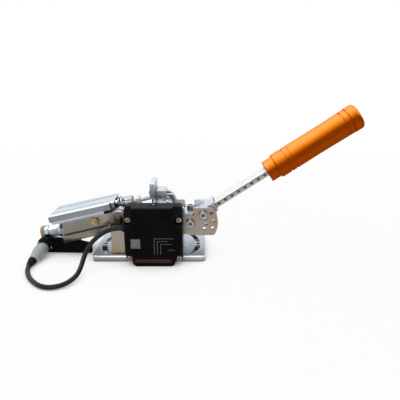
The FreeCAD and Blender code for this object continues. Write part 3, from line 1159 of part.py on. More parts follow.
def plug():
    """The grey moulded plug with a black ring at its cable end."""
    start = SOCKET_FACE
    length = size("plug_length")
    body = new_body("plug_body")
    profile = sketch_on(body, "plug_profile", "XY_Plane")
    outline(profile, [(0, 0, 0), (7, 0, 0), (7.4, 3, 0), (8, length * 0.35, 0), (7.7, length * 0.58, 0),
                      (5.9, length - 1, 0), (5.4, length, 0), (0, length, 0)])
    turn = body.newObject("PartDesign::Revolution", "plug_turned")
    turn.Profile = profile
    turn.ReferenceAxis = (profile, ["V_Axis"])
    turn.Angle = 360
    body.Placement = Placement(start, Rotation(ACROSS, PLUG_AXIS))
    node("sensor_plug", body)
    tip = start + PLUG_AXIS * length
    collar = turned("plug_ring_blank", 5.6, 3.4, *tip, PLUG_AXIS)
    node("plug_ring", filleted("plug_ring_round", collar, 0.8, lambda edge: edge.BoundBox.YMax < tip.y - 2))
    return tip + PLUG_AXIS * 3.4


# The cable's route: out of the plug, round on the floor and up to the gland on the box
CABLE_ROUTE = [
    (-146, -80, 3.3), (-133, -101, 3.3), (-112, -118.5, 3.3), (-91, -114.5, 4.2), (-80.5, -97, 6.2),
    (-79.5, -77, 9.5), (-79, -61, 18), (-72.5, -52.5, 31), (-60.5, -48, 41), (-47.5, GLAND[1], GLAND[2]),
]


def cable(exit_point):
    """The cable: straight runs joined by tangent arcs, each as large as its runs allow."""
    entry = Vector(GLAND[0] - 5, GLAND[1], GLAND[2])
    points = [exit_point, exit_point + PLUG_AXIS * 9.5] + [Vector(*point) for point in CABLE_ROUTE] + [entry]
    edges, radii, at = [], [], points[0]
    for before, corner, after in zip(points, points[1:], points[2:]):
        one, two = before - corner, after - corner
        half_turn = (math.pi - one.getAngle(two)) / 2
        reach = 0.45 * min(one.Length, two.Length)
        radius = reach / math.tan(half_turn)
        radii.append(round(radius, 1))
        start, middle, end = corner_arc(before, corner, after, radius)
        edges += [Part.LineSegment(at, start).toShape(), Part.Arc(start, middle, end).toShape()]
        at = end
    edges.append(Part.LineSegment(at, points[-1]).toShape())
    path = Part.Wire(edges)
    radius = size("cable") / 2
    section = Part.Wire([Part.Circle(points[0], points[1] - points[0], radius).toShape()])
    shell = Part.BRepOffsetAPI.MakePipeShell(path)
    shell.add(section)
    shell.build()
    shell.makeSolid()
    volume = math.pi * radius ** 2 * path.Length
    print(f"sensor_cable: arc radii {radii}, length {path.Length:.1f} mm, "
          f"volume over section times length {shell.shape().Volume / volume:.4f}")
    thing = doc.addObject("Part::Feature", "cable_feature")
    thing.Shape = shell.shape()
    node("sensor_cable", thing)


base_plate()
side_plate("side_plate_front", front=True)
side_plate("side_plate_rear", front=False)
frame_fasteners()
pivot_group()
cylinder_arm("cylinder_arm_front", front=True)
cylinder_arm("cylinder_arm_rear", front=False)
cylinder_block()
cylinder_details()
gallery_and_fittings()
arm_fasteners()
push_rod_group()
return_spring()
rocker()
fork_plate()
cheek("cheek_front", front=True)
cheek("cheek_rear", front=False)
holder()
bar()
cheek_fasteners()
grip()
box()
connector()
cable(plug())
doc.recompute()

for thing in doc.Objects:
    if "Invalid" in thing.State or "Error" in thing.State:
        raise RuntimeError(f"{thing.Label} did not build: {thing.State}")
os.makedirs("parts", exist_ok=True)
for thing in NODES:
    shape = thing.Shape
    if shape.isNull() or not shape.isValid() or not shape.Solids:
        raise RuntimeError(f"{thing.Label} has no valid solid")
    shape.exportStep(f"parts/{thing.Label}.step")
print(f"{len(NODES)} nodes written; lever arm of the rod pin {ROD_LEVER:.3f} mm at "
      f"({PIN_PLACE[0]:.2f}, {PIN_PLACE[1]:.2f})")
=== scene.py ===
"""Looks of the sim racing handbrake: camera, sensor cable, finishes and the pieces finer than the CAD.

Metres, in the frame of the CAD model. Sizes that a maker would quote are in millimetres and pass
through mm().
"""
import json
import math

import bmesh
import bpy
from mathutils import Matrix, Vector

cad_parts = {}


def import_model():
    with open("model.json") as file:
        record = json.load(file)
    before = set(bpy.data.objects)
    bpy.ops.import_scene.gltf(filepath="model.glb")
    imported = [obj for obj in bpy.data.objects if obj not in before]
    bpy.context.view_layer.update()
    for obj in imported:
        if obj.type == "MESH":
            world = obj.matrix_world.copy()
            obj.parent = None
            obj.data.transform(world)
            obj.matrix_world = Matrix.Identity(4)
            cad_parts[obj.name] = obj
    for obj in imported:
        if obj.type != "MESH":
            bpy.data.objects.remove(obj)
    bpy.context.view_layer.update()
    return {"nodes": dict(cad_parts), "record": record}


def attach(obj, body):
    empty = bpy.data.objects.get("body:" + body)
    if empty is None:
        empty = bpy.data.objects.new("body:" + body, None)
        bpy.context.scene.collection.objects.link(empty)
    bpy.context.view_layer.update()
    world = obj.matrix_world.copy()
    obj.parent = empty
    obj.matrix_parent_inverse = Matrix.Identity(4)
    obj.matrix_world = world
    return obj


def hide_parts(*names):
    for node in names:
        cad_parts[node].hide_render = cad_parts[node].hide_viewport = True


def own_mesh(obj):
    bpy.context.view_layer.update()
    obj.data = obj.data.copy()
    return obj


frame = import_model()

RIGHT = Vector((1, 0, 0))
BACK = Vector((0, 1, 0))
UP = Vector((0, 0, 1))
# How far pieces lean from X towards Z, in degrees: rod with cylinder, lever, and the front arm's foot
ROD_LEAN = 13
LEVER_LEAN = 33.4
FOOT_LEAN = 4


def mm(*sizes):
    """Millimetres to metres, as one number or a vector."""
    return sizes[0] / 1000 if len(sizes) == 1 else Vector(sizes) / 1000


def leaning(lean):
    """The direction that leans from X towards Z."""
    return Vector((math.cos(math.radians(lean)), 0, math.sin(math.radians(lean))))


def across(lean):
    """The direction square to the leaning one, upwards."""
    return Vector((-math.sin(math.radians(lean)), 0, math.cos(math.radians(lean))))


# Camera: level with the horizon in roll, looking along +Y and down on the handbrake
CAMERA_PLACE = mm(67.6, -551.4, 242.4)
CAMERA_DOWN = 17.1
CAMERA_LENS = 37.98
CAMERA_SENSOR = 36.0


def set_camera():
    data = bpy.data.cameras.new("front_camera")
    data.lens, data.sensor_width = CAMERA_LENS, CAMERA_SENSOR
    data.clip_start = 0.01
    camera = bpy.data.objects.new("front_camera", data)
    camera.location = CAMERA_PLACE
    camera.rotation_euler = (math.radians(90 - CAMERA_DOWN), 0, 0)
    bpy.context.scene.collection.objects.link(camera)
    bpy.context.scene.camera = camera


# Sensor plug: it starts where its socket ends and has a ring at the cable's side
PLUG_AXIS = Vector((-3.6, -30, -5.4)).normalized()
SOCKET_MIDDLE = mm(-144.8, -15.5, 13.2)
SOCKET_REACH = 5.4
PLUG_START = SOCKET_MIDDLE + PLUG_AXIS * mm(SOCKET_REACH)
PLUG_LENGTH = 31.0
PLUG_RING = 3.4
# Sensor cable: it leaves the ring straight, then follows a route round on the floor and up to the
# gland, in mm
CABLE_DIAMETER = 6.0
CABLE_STRAIGHT = 9.5
CABLE_EXIT = PLUG_START + PLUG_AXIS * mm(PLUG_LENGTH + PLUG_RING)
CABLE_ROUTE = [
    (-146, -80, 3.3), (-133, -101, 3.3), (-112, -118.5, 3.3), (-91, -114.5, 4.2), (-80.5, -97, 6.2),
    (-79.5, -77, 9.5), (-79, -61, 18), (-72.5, -52.5, 31), (-60.5, -48, 41), (-47.5, -42, 47.5),
    (-33, -42, 47.5),
]


def cable_line(name):
    """The cable's route as one NURBS line."""
    points = [CABLE_EXIT, CABLE_EXIT + PLUG_AXIS * mm(CABLE_STRAIGHT)]
    points += [mm(*place) for place in CABLE_ROUTE]
    data = bpy.data.curves.new(name, "CURVE")
    data.dimensions = "3D"
    line = data.splines.new("NURBS")
    line.points.add(len(points) - 1)
    for point, place in zip(line.points, points):
        point.co = (*place, 1)
    line.order_u = 3
    line.use_endpoint_u = True
    line.resolution_u = 10
    cable = bpy.data.objects.new(name, data)
    bpy.context.scene.collection.objects.link(cable)
    return cable


def cable_curve():
    """The cable's round sheath on that line."""
    cable = cable_line("cable_sheath")
    cable.data.bevel_depth = mm(CABLE_DIAMETER) / 2
    cable.data.bevel_resolution = 5
    cable.data.use_fill_caps = True
    return cable


# Modelling, as by hand: a primitive, edit-mode operators, then modifiers that are applied
def start_fresh():
    """Object mode with nothing selected."""
    if bpy.context.object and bpy.context.object.mode != "OBJECT":
        bpy.ops.object.mode_set(mode="OBJECT")
    bpy.ops.object.select_all(action="DESELECT")


def pick(piece):
    """Object mode with one piece selected and active."""
    start_fresh()
    bpy.context.view_layer.objects.active = piece
    piece.select_set(True)


def open_edit(piece, kind="FACE"):
    """Edit mode on one piece with nothing selected."""
    pick(piece)
    bpy.ops.object.mode_set(mode="EDIT")
    bpy.ops.mesh.select_mode(type=kind)
    bpy.ops.mesh.select_all(action="DESELECT")


def choose_faces(piece, wanted):
    """Select the faces whose centre passes a test."""
    mesh = bmesh.from_edit_mesh(piece.data)
    for face in mesh.faces:
        face.select_set(wanted(face.calc_center_median()))
    mesh.select_flush_mode()
    bmesh.update_edit_mesh(piece.data)


def close_edit():
    bpy.ops.object.mode_set(mode="OBJECT")


def face_outwards():
    """Every face of the piece in edit mode points outwards."""
    bpy.ops.mesh.select_all(action="SELECT")
    bpy.ops.mesh.normals_make_consistent(inside=False)


def fix_place():
    """Carry the place and turn of the selected piece over into its mesh."""
    bpy.ops.object.transform_apply(location=True, rotation=True, scale=True)


def apply_modifier(piece, kind, **settings):
    modifier = piece.modifiers.new(kind.lower(), kind)
    for name, setting in settings.items():
        setattr(modifier, name, setting)
    pick(piece)
    bpy.ops.object.modifier_apply(modifier=modifier.name)


def drawn_up(name, rings, sides=48):
    """A round piece along Z, drawn up ring by ring from its foot; each ring is (height, radius)."""
    start_fresh()
    height, radius = rings[0]
    bpy.ops.mesh.primitive_circle_add(vertices=sides, radius=radius, fill_type="NGON",
                                      location=(0, 0, height))
    piece = bpy.context.object
    piece.name = name
    fix_place()
    bpy.ops.object.mode_set(mode="EDIT")
    bpy.ops.mesh.select_mode(type="FACE")
    bpy.ops.mesh.select_all(action="SELECT")
    for next_height, next_radius in rings[1:]:
        bpy.ops.mesh.extrude_region_move(TRANSFORM_OT_translate={"value": (0, 0, next_height - height)})
        share = next_radius / radius
        bpy.ops.transform.resize(value=(share, share, 1), center_override=(0, 0, next_height))
        height, radius = next_height, next_radius
    face_outwards()
    close_edit()
    return piece


def put(piece, place, along, side=None):
    """Turn a piece that was made along Z to lie along a direction, its X to a side if one is given, move
    it, and fix both in its mesh."""
    if side is None:
        turn = UP.rotation_difference(along).to_matrix()
    else:
        turn = Matrix((side, along.cross(side), along)).transposed()
    piece.matrix_world = Matrix.Translation(place) @ turn.to_4x4()
    pick(piece)
    fix_place()


def smooth(piece, angle):
    """Smooth shading, with sharp edges kept where faces meet at more than the angle, in degrees."""
    pick(piece)
    bpy.ops.object.shade_smooth_by_angle(angle=math.radians(angle))


def finished(piece, body, finish, nodes):
    """Give a modelled piece its finish, the body it moves with and the CAD nodes it stands for."""
    piece.data.materials.clear()
    piece.data.materials.append(finish)
    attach(piece, body)
    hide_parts(*nodes)
    return piece


# Finishes
def colour(red, green, blue):
    """A colour given as it looks on screen, 0 to 255."""
    def linear(level):
        share = level / 255
        return share / 12.92 if share <= 0.04045 else ((share + 0.055) / 1.055) ** 2.4
    return (linear(red), linear(green), linear(blue), 1)


class Nodes:
    """Short ways to add nodes to one tree."""

    def __init__(self, tree):
        self.tree = tree

    def node(self, kind, settings=(), **inputs):
        """A new node with its settings, and a value or a link for each input that is named."""
        made = self.tree.nodes.new(kind)
        for name, setting in dict(settings).items():
            setattr(made, name, setting)
        for name, value in inputs.items():
            self.plug(made.inputs[name.replace("_", " ")], value)
        return made

    def plug(self, socket, value):
        if isinstance(value, bpy.types.NodeSocket):
            self.tree.links.new(value, socket)
        else:
            socket.default_value = value

    def pair(self, kind, operation, first, second):
        """A node that works on two inputs."""
        made = self.node(kind, {"operation": operation})
        self.plug(made.inputs[0], first)
        self.plug(made.inputs[1], second)
        return made

    def combine(self, operation, first, second):
        """Two values added, compared or the like."""
        return self.pair("ShaderNodeMath", operation, first, second).outputs[0]

    def times(self, first, second):
        return self.combine("MULTIPLY", first, second)

    def dot(self, first, second):
        """The dot product of two vectors."""
        return self.pair("ShaderNodeVectorMath", "DOT_PRODUCT", first, second).outputs["Value"]

    def spread(self, value, low, high, out_low=0.0, out_high=1.0):
        """Carry the range low to high over to another range, and hold it there."""
        return self.node("ShaderNodeMapRange", Value=value, From_Min=low, From_Max=high, To_Min=out_low,
                         To_Max=out_high).outputs[0]

    def openness(self, distance):
        """1 in the open, down to 0 where other faces close a spot in within a distance."""
        return self.node("ShaderNodeAmbientOcclusion", {"samples": 6}, Distance=distance).outputs["AO"]

    def mix_shaders(self, share, first, second):
        """The first shader where the share is 0 and the second where it is 1."""
        mixed = self.node("ShaderNodeMixShader")
        for socket, value in zip(mixed.inputs, (share, first.outputs[0], second.outputs[0])):
            self.plug(socket, value)
        return mixed.outputs[0]


class Finish(Nodes):
    """A finish in the making: one Principled shader and the patterns that drive it."""

    # Places of the colour sockets on a Mix node
    FIRST_COLOUR, SECOND_COLOUR, MIXED_COLOUR = 6, 7, 2

    def __init__(self, name, **constants):
        self.material = bpy.data.materials.new(name)
        self.material.use_nodes = True
        super().__init__(self.material.node_tree)
        self.shader = self.tree.nodes["Principled BSDF"]
        for socket, value in constants.items():
            self.shader.inputs[socket.replace("_", " ")].default_value = value
        self.place = self.node("ShaderNodeTexCoord").outputs["Object"]

    def pattern(self, scale, stretch=(1, 1, 1), turn=0, detail=4):
        """Noise on the piece, stretched along its own directions; turn leans it from X towards Z."""
        mapped = self.node("ShaderNodeMapping", Vector=self.place, Scale=stretch,
                           Rotation=(0, math.radians(turn), 0))
        noise = self.node("ShaderNodeTexNoise", Vector=mapped.outputs[0], Scale=scale, Detail=detail)
        return noise.outputs["Fac"]

    def blend(self, first, second, share):
        """The first colour where the share is 0 and the second where it is 1."""
        made = self.node("ShaderNodeMix", {"data_type": "RGBA"})
        self.plug(made.inputs[0], share)
        self.plug(made.inputs[self.FIRST_COLOUR], first)
        self.plug(made.inputs[self.SECOND_COLOUR], second)
        return made.outputs[self.MIXED_COLOUR]

    def facing(self, axis, low=0.1, high=0.9):
        """How far a face looks along an axis: 0 below the low share of it, 1 above the high one."""
        normal = self.node("ShaderNodeTexCoord").outputs["Normal"]
        parts = self.node("ShaderNodeSeparateXYZ", Vector=normal)
        return self.spread(parts.outputs[axis], low, high)

    def faded(self, rest, tint, direction, start, end):
        """A tint up to the start along a direction and the rest from the end on, both in mm."""
        return self.blend(tint, rest, self.spread(self.dot(self.place, direction), mm(start), mm(end)))

    def soft_edges(self, radius):
        """Rounded edges in the shading, and the share of each spot that is edge. The radius is in mm."""
        flat, edge = 0.97, 0.8
        rounded = self.node("ShaderNodeBevel", {"samples": 4}, Radius=mm(radius)).outputs[0]
        true = self.node("ShaderNodeNewGeometry").outputs["True Normal"]
        return rounded, self.spread(self.dot(rounded, true), flat, edge)

    def sheltered(self, reach):
        """The share of each spot that lies in a hole, a slot or a corner. The reach is in mm."""
        in_open, closed_in = 0.85, 0.4
        return self.spread(self.openness(mm(reach)), in_open, closed_in)

    def relief(self, height, strength, depth, normal):
        """Fine relief on top of a normal. The depth is in mm."""
        return self.node("ShaderNodeBump", Height=height, Strength=strength, Distance=mm(depth),
                         Normal=normal).outputs[0]

    def paint(self, base, roughness, normal):
        self.plug(self.shader.inputs["Base Color"], base)
        self.plug(self.shader.inputs["Roughness"], roughness)
        self.plug(self.shader.inputs["Normal"], normal)
        return self.material


# Ranges of noise: nearly all of it, the part that makes soft clouds, and two that leave a piece mostly free
ALL_NOISE = (0.3, 0.7)
CLOUDS = (0.35, 0.7)
MARKS = (0.42, 0.7)
PATCHES = (0.42, 0.6)
# What bare metals share: colours of handling marks, of rubbed edges that also stand for a painted highlight
# and of painted shade in holes and corners, scales of noise, and in mm how far a corner shelters a spot
HANDLED = (0.16, 0.16, 0.17, 1)
RUBBED_AND_HIGHLIGHT = (0.9, 0.91, 0.93, 1)
PAINTED_HOLE_SHADE = colour(52, 44, 38)
PATCH_SCALE = 24
MARK_SCALE = 55
GRAIN_SCALE = 900
SHELTER_REACH = 7
# Depth of the fine grain on metal and on the cover, in mm
GRAIN_DEPTH = 0.02


def bare_metal(name, level, upright, rough, grain=1, turn=0, cloud=0.25, edge=RUBBED_AND_HIGHLIGHT, shadow=PAINTED_HOLE_SHADE,
               painted_shade_share=0.85, drift=None, metal=1.0, fade=None, behind=None, top=None, low=None,
               round_edge=0.35):
    """Machined or polished metal with light painted into its colour: a cool painted reflection where it lies
    level and a warm painted reflection where it stands, with a tool's grain, cloudy handling marks, edges
    that are rubbed and by default painted bright as a highlight, and painted shade in holes and corners.
    Shadow is the colour of that painted shade; the argument after it sets its strength. Grain below 1 draws
    the tool's lines out, and turn leans them. Drift is a second colour in broad patches. Fade is (colour,
    direction, start, end), a colour of upright faces that is gone at the end; top is the same for level
    faces and low for all faces. Behind is the colour of faces that look backwards. Places and the rounding
    of the edges are in mm."""
    finish = Finish(name, Metallic=metal)
    if drift:
        patches = finish.spread(finish.pattern(PATCH_SCALE, detail=1), *PATCHES)
        upright = finish.blend(upright, drift, patches)
    if fade:
        upright = finish.faded(upright, *fade)
    if behind:
        upright = finish.blend(upright, behind, finish.facing("Y", 0.3, 0.7))
    if top:
        level = finish.faded(level, *top)
    # Painted reflection: faces that look up take the cool level colour, standing faces the warm upright one
    base = finish.blend(upright, level, finish.facing("Z"))
    if low:
        base = finish.faded(base, *low)
    marks = finish.spread(finish.pattern(MARK_SCALE, detail=3), *MARKS)
    base = finish.blend(base, HANDLED, finish.times(marks, cloud))
    rounded, worn = finish.soft_edges(round_edge)
    # Edges: rubbed wear, and by default a painted highlight
    base = finish.blend(base, edge, finish.times(worn, 0.6))
    # Painted shade in holes, slots and corners
    base = finish.blend(base, shadow, finish.times(finish.sheltered(SHELTER_REACH), painted_shade_share))
    lines = finish.pattern(GRAIN_SCALE, (grain, 1, 1), turn, 5)
    roughness = finish.combine("ADD", finish.spread(lines, *ALL_NOISE, rough - 0.06, rough + 0.08),
                               finish.times(marks, 0.08))
    return finish.paint(base, roughness, finish.relief(lines, 0.25, GRAIN_DEPTH, rounded))


def moulded(name, body, rubbed, rough, **constants):
    """Moulded or painted plastic and rubber: fine grain, faint cloudiness and rubbed edges."""
    grain_scale, grain_depth = 1400, 0.03
    finish = Finish(name, **constants)
    cloud = finish.spread(finish.pattern(40, detail=3), *CLOUDS)
    darker = tuple(level * 0.75 for level in body[:3]) + (1,)
    base = finish.blend(body, darker, finish.times(cloud, 0.5))
    rounded, worn = finish.soft_edges(0.3)
    base = finish.blend(base, rubbed, finish.times(worn, 0.5))
    texture = finish.pattern(grain_scale, detail=2)
    roughness = finish.spread(finish.combine("ADD", texture, cloud), 0.6, 1.4, rough - 0.05, rough + 0.1)
    return finish.paint(base, roughness, finish.relief(texture, 0.3, grain_depth, rounded))


def anodised(name, bright, shaded_side, painted_highlight, under, rough, lean):
    """Satin anodised aluminium with a turned grain round the grip, with light painted into its orange: a lit
    orange where it looks up with a pale painted highlight above it, painted shade at its side, and a little
    lighter again, painted bounce light, where it looks down."""
    rim = (0.75, 0.42, 0.18, 1)
    ring_scale, ring_stretch, ring_depth = 700, (1, 0.06, 0.06), 0.01
    finish = Finish(name, Metallic=1.0, Specular_Tint=rim)
    # Painted light by the way a face looks: bright is the lit top, then the painted highlight, the painted
    # shade at the side and painted bounce light under it
    base = finish.blend(shaded_side, bright, finish.facing("Z", 0.19, 0.5))
    base = finish.blend(base, painted_highlight, finish.facing("Z", 0.46, 0.63))
    base = finish.blend(base, under, finish.facing("Z", 0.0, -0.3))
    cloud = finish.spread(finish.pattern(35, detail=3), 0.35, 0.75)
    base = finish.blend(base, shaded_side, finish.times(cloud, 0.1))
    rounded, worn = finish.soft_edges(0.3)
    # Painted highlight on the edges
    base = finish.blend(base, colour(255, 190, 110), finish.times(worn, 0.35))
    rings = finish.pattern(ring_scale, ring_stretch, lean)
    roughness = finish.spread(rings, *ALL_NOISE, rough - 0.03, rough + 0.04)
    return finish.paint(base, roughness, finish.relief(rings, 0.04, ring_depth, rounded))


# Printing on the cover, in mm: (left, low, width, height) along X and Z, plain strokes and one square.
# The printed face lies in front of the first Y, and the lip in front of the second.
COVER_FACE = -57.6
COVER_LIP = -53
PRINT_SQUARE = (-20.0, 26.1, 12.0, 12.6)
PRINT_STROKES = [
    (9.4, 17.5, 0.7, 22), (9.4, 39.1, 24.6, 0.7), (13.3, 17.9, 0.7, 18), (13.3, 35.4, 13.4, 0.7),
    (17.3, 17.9, 0.7, 14), (17.3, 31.4, 14.6, 0.7), (27.0, 23.5, 8.8, 0.7),
]
# Painted reflection on the lip: a warm band and two lighter lines in it, each (left, low, width, height)
LIP_REFLECTION = (-15.4, 5.2, 46.4, 6.8)
LIP_REFLECTED_LINES = [(-15.4, 9.2, 46.4, 1.0), (-15.4, 6.6, 46.4, 1.0)]


def cover_finish():
    """Gloss black cover: its face carries thin pale strokes and a pale square, the lip a painted warm
    reflection with faint lighter lines, and faces that look up a painted cool reflection.
    """
    finish = Finish("box_black", Specular_IOR_Level=0.03)
    x, y, z = finish.node("ShaderNodeSeparateXYZ", Vector=finish.place).outputs

    def inside(value, low, high):
        above = finish.combine("GREATER_THAN", value, mm(low))
        return finish.times(above, finish.combine("LESS_THAN", value, mm(high)))

    def panel(left, low, width, height):
        return finish.times(inside(x, left, left + width), inside(z, low, low + height))

    def panels(places):
        drawn = panel(*places[0])
        for place in places[1:]:
            drawn = finish.combine("MAXIMUM", drawn, panel(*place))
        return drawn

    on_face = finish.combine("LESS_THAN", y, mm(COVER_FACE))
    on_lip = finish.combine("LESS_THAN", y, mm(COVER_LIP))
    cloud = finish.spread(finish.pattern(45, detail=3), *CLOUDS)
    base = finish.blend(colour(9, 8, 9), colour(17, 15, 16), cloud)
    # Painted warm reflection on the lip, and lighter lines in it
    base = finish.blend(base, colour(42, 20, 14), finish.times(panel(*LIP_REFLECTION), on_lip))
    base = finish.blend(base, colour(104, 78, 70), finish.times(panels(LIP_REFLECTED_LINES), on_lip))
    # Painted cool reflection on faces that look up
    base = finish.blend(base, colour(17, 23, 33), finish.times(finish.facing("Z"), 0.85))
    base = finish.blend(base, colour(106, 103, 101), finish.times(panels(PRINT_STROKES), on_face))
    patchy = finish.spread(finish.pattern(420, detail=2), 0.45, 0.6)
    pale = finish.blend(colour(130, 129, 136), colour(84, 83, 90), finish.times(patchy, 0.55))
    base = finish.blend(base, pale, finish.times(panel(*PRINT_SQUARE), on_face))
    rounded, worn = finish.soft_edges(0.5)
    base = finish.blend(base, colour(92, 94, 98), finish.times(worn, 0.2))
    grain = finish.pattern(1600, detail=2)
    roughness = finish.spread(finish.combine("ADD", grain, cloud), 0.6, 1.4, 0.3, 0.42)
    return finish.paint(base, roughness, finish.relief(grain, 0.2, GRAIN_DEPTH, rounded))


# Looks of metal that more than one finish has; their level and upright colours are painted cool and warm
# reflections
COOL = colour(204, 212, 221)
GREY = colour(158, 167, 173)
MACHINED = dict(level=colour(184, 194, 205), upright=colour(156, 152, 147), rough=0.32, grain=0.08,
                drift=colour(172, 170, 168))
POLISHED = dict(level=COOL, upright=colour(157, 137, 117), rough=0.25, grain=0.05, cloud=0.12,
                drift=colour(154, 147, 138))
# The arms' painted shade in the groove and corners is dark red-brown
ARM = dict(level=COOL, upright=colour(150, 141, 127), rough=0.25, grain=0.05, turn=ROD_LEAN, cloud=0.15,
           shadow=colour(54, 30, 20), painted_shade_share=0.95, drift=colour(136, 130, 124))

# Finishes of the material slots
METALS = {
    "machined_aluminium": MACHINED,
    "polished_plate": POLISHED,
    # Cylinder: the top faces in front of Y -9.4 mm carry a near-white painted highlight
    "cylinder_silver": dict(level=colour(204, 218, 226), upright=colour(130, 130, 133), rough=0.22,
                            grain=0.03, turn=ROD_LEAN, cloud=0.1, drift=colour(142, 146, 151),
                            top=(colour(235, 242, 246), BACK, -9.4, -8.4)),
    "steel": dict(level=colour(190, 196, 204), upright=colour(138, 137, 136), rough=0.28),
    # Chrome bolts: dark painted shade in their sockets
    "bolt_chrome": dict(level=colour(228, 232, 238), upright=colour(148, 152, 158), rough=0.14, cloud=0.4,
                        shadow=colour(30, 29, 30), painted_shade_share=0.75),
    "dark_screw": dict(level=colour(96, 84, 74), upright=colour(66, 56, 48), rough=0.3,
                       edge=colour(120, 104, 88)),
    # Spring: dark painted shade between its coils
    "spring_chrome": dict(level=colour(236, 239, 244), upright=colour(120, 122, 128), rough=0.12,
                          shadow=colour(26, 26, 28)),
    "brass_fitting": dict(level=colour(232, 210, 156), upright=colour(166, 142, 100), rough=0.2,
                          edge=colour(240, 226, 184)),
    "bronze_bush": dict(level=colour(196, 150, 96), upright=colour(150, 110, 70), rough=0.35,
                        edge=colour(210, 170, 120)),
}
PLASTICS = {
    "tan_plastic": dict(body=colour(170, 138, 106), rubbed=colour(205, 182, 156), rough=0.4),
    "plug_grey": dict(body=colour(172, 182, 179), rubbed=colour(208, 214, 208), rough=0.4),
    "black_plastic": dict(body=colour(12, 11, 12), rubbed=colour(50, 48, 48), rough=0.45,
                          Specular_IOR_Level=0.15),
    "rubber_black": dict(body=colour(7, 10, 13), rubbed=colour(26, 31, 36), rough=0.34,
                         Specular_IOR_Level=0.28, Specular_Tint=(0.8, 0.93, 1.0, 1)),
    "board_green": dict(body=colour(22, 84, 48), rubbed=colour(160, 150, 90), rough=0.45),
    "light_lens": dict(body=colour(150, 190, 215), rubbed=colour(200, 220, 235), rough=0.15,
                       Transmission_Weight=0.3),
}
FINISHES = {name: bare_metal(name, **look) for name, look in METALS.items()}
FINISHES.update({name: moulded(name, **look) for name, look in PLASTICS.items()})
FINISHES["orange_anodised"] = anodised("orange_anodised", bright=colour(236, 133, 18),
                                       shaded_side=colour(132, 54, 0), painted_highlight=colour(240, 154, 80),
                                       under=colour(161, 70, 4), rough=0.6, lean=LEVER_LEAN)
FINISHES["box_black"] = cover_finish()

# Finishes of single nodes that differ from the rest of their slot
# Push rod parts: near white and barely metallic, a painted reflection of the white surround on chrome
ROD = bare_metal("rod_bright", level=colour(246, 248, 249), upright=colour(236, 238, 238), rough=0.4,
                 painted_shade_share=0.1, metal=0.1)
OWN_FINISH = {
    # Base plate: a near-white painted highlight along the upper rim of its standing faces, and wider rounded
    # edges
    "base_plate": bare_metal("base_aluminium", **MACHINED, round_edge=1.2,
                             fade=(colour(240, 242, 246), UP, 6.6, 5.8)),
    "side_plate_front": bare_metal("front_plate", **POLISHED, fade=(colour(112, 102, 92), UP, 50, 42)),
    "cheek_front": bare_metal("cheek_front_plate", **POLISHED, fade=(colour(146, 145, 138), RIGHT, 48, 60)),
    # Rear cheek: near white on its front and top faces, a painted glare, and grey up to X 30 mm, painted
    # shade; faces that look backwards keep a tan plate colour
    "cheek_rear": bare_metal("rear_plate_pale", level=colour(240, 243, 246), upright=colour(246, 248, 249),
                             rough=0.4, grain=0.05, cloud=0.08, painted_shade_share=0.05, metal=0.35,
                             fade=(colour(120, 130, 139), RIGHT, 30, 36), behind=colour(178, 168, 156)),
    # Cheek bolts: painted shade as dark rims round the head and socket, and in the socket
    "cheek_bolts": bare_metal("cheek_bolt", level=colour(228, 232, 238), upright=colour(172, 176, 184),
                              rough=0.14, cloud=0.4, edge=colour(30, 32, 36), shadow=colour(44, 44, 48),
                              painted_shade_share=0.7, round_edge=1.4),
    # Lever bar: dark painted shade in its holes
    "lever_bar": bare_metal("bar_bright", level=colour(246, 248, 250), upright=colour(138, 137, 134),
                            rough=0.24, grain=0.03, turn=LEVER_LEAN, cloud=0.08, shadow=colour(34, 34, 36),
                            fade=(colour(182, 178, 164), across(LEVER_LEAN), 5.5, 11.5)),
    "lever_holder": bare_metal("holder_grey", level=colour(224, 232, 239), upright=colour(158, 163, 168),
                               rough=0.28, grain=0.05, turn=LEVER_LEAN, painted_shade_share=0.5),
    "fork_plate": bare_metal("fork_plate_grey", level=colour(226, 230, 234), upright=GREY, rough=0.28,
                             cloud=0.2, painted_shade_share=0.5),
    # Rocker block: darker below 72.3 mm, painted shade inside the mechanism
    "rocker_block": bare_metal("rocker_grey", level=colour(216, 222, 228), upright=GREY, rough=0.3,
                               painted_shade_share=0.4, low=(colour(176, 184, 192), UP, 72.3, 74.5)),
    "cylinder_packers": bare_metal("packer_bright", level=colour(240, 243, 246),
                                   upright=colour(192, 201, 210), rough=0.2, grain=0.05, turn=ROD_LEAN,
                                   cloud=0.1, painted_shade_share=0.2, metal=0.6),
    # Front arm: dark along its lower edge, painted shade
    "cylinder_arm_front": bare_metal("arm_front_plate", **ARM,
                                     fade=(colour(20, 18, 16), across(FOOT_LEAN), 31.5, 36.5)),
    "cylinder_arm_rear": bare_metal("arm_rear_plate", **ARM),
    "arm_bolts": bare_metal("arm_bolt_dark", level=colour(84, 76, 66), upright=colour(38, 33, 26), rough=0.3,
                            edge=colour(110, 98, 84), shadow=colour(30, 26, 20), painted_shade_share=0.4, metal=0.5),
    "pressure_sensor": bare_metal("sensor_chrome", level=colour(206, 216, 226),
                                  upright=colour(176, 187, 198), rough=0.18, cloud=0.35,
                                  shadow=colour(60, 66, 72)),
    "connector_bracket": moulded("bracket_black", body=colour(5, 5, 5), rubbed=colour(24, 24, 26), rough=0.5,
                                 Specular_IOR_Level=0.05),
    "box_cover_screws": bare_metal("cover_screw", level=colour(206, 198, 188), upright=colour(138, 128, 116),
                                   rough=0.18, cloud=0.4, shadow=colour(40, 34, 30), painted_shade_share=0.8),
    "push_rod": ROD,
    "rod_end": ROD,
    "rod_lock_nut": ROD,
}
SLOT_OF = {part["node"]: part["material_slot"] for part in frame["record"]["subparts"]}


def dress_nodes():
    """Every CAD node takes its own finish or that of its slot."""
    for name, piece in frame["nodes"].items():
        piece.data.materials.clear()
        piece.data.materials.append(OWN_FINISH.get(name) or FINISHES[SLOT_OF[name]])


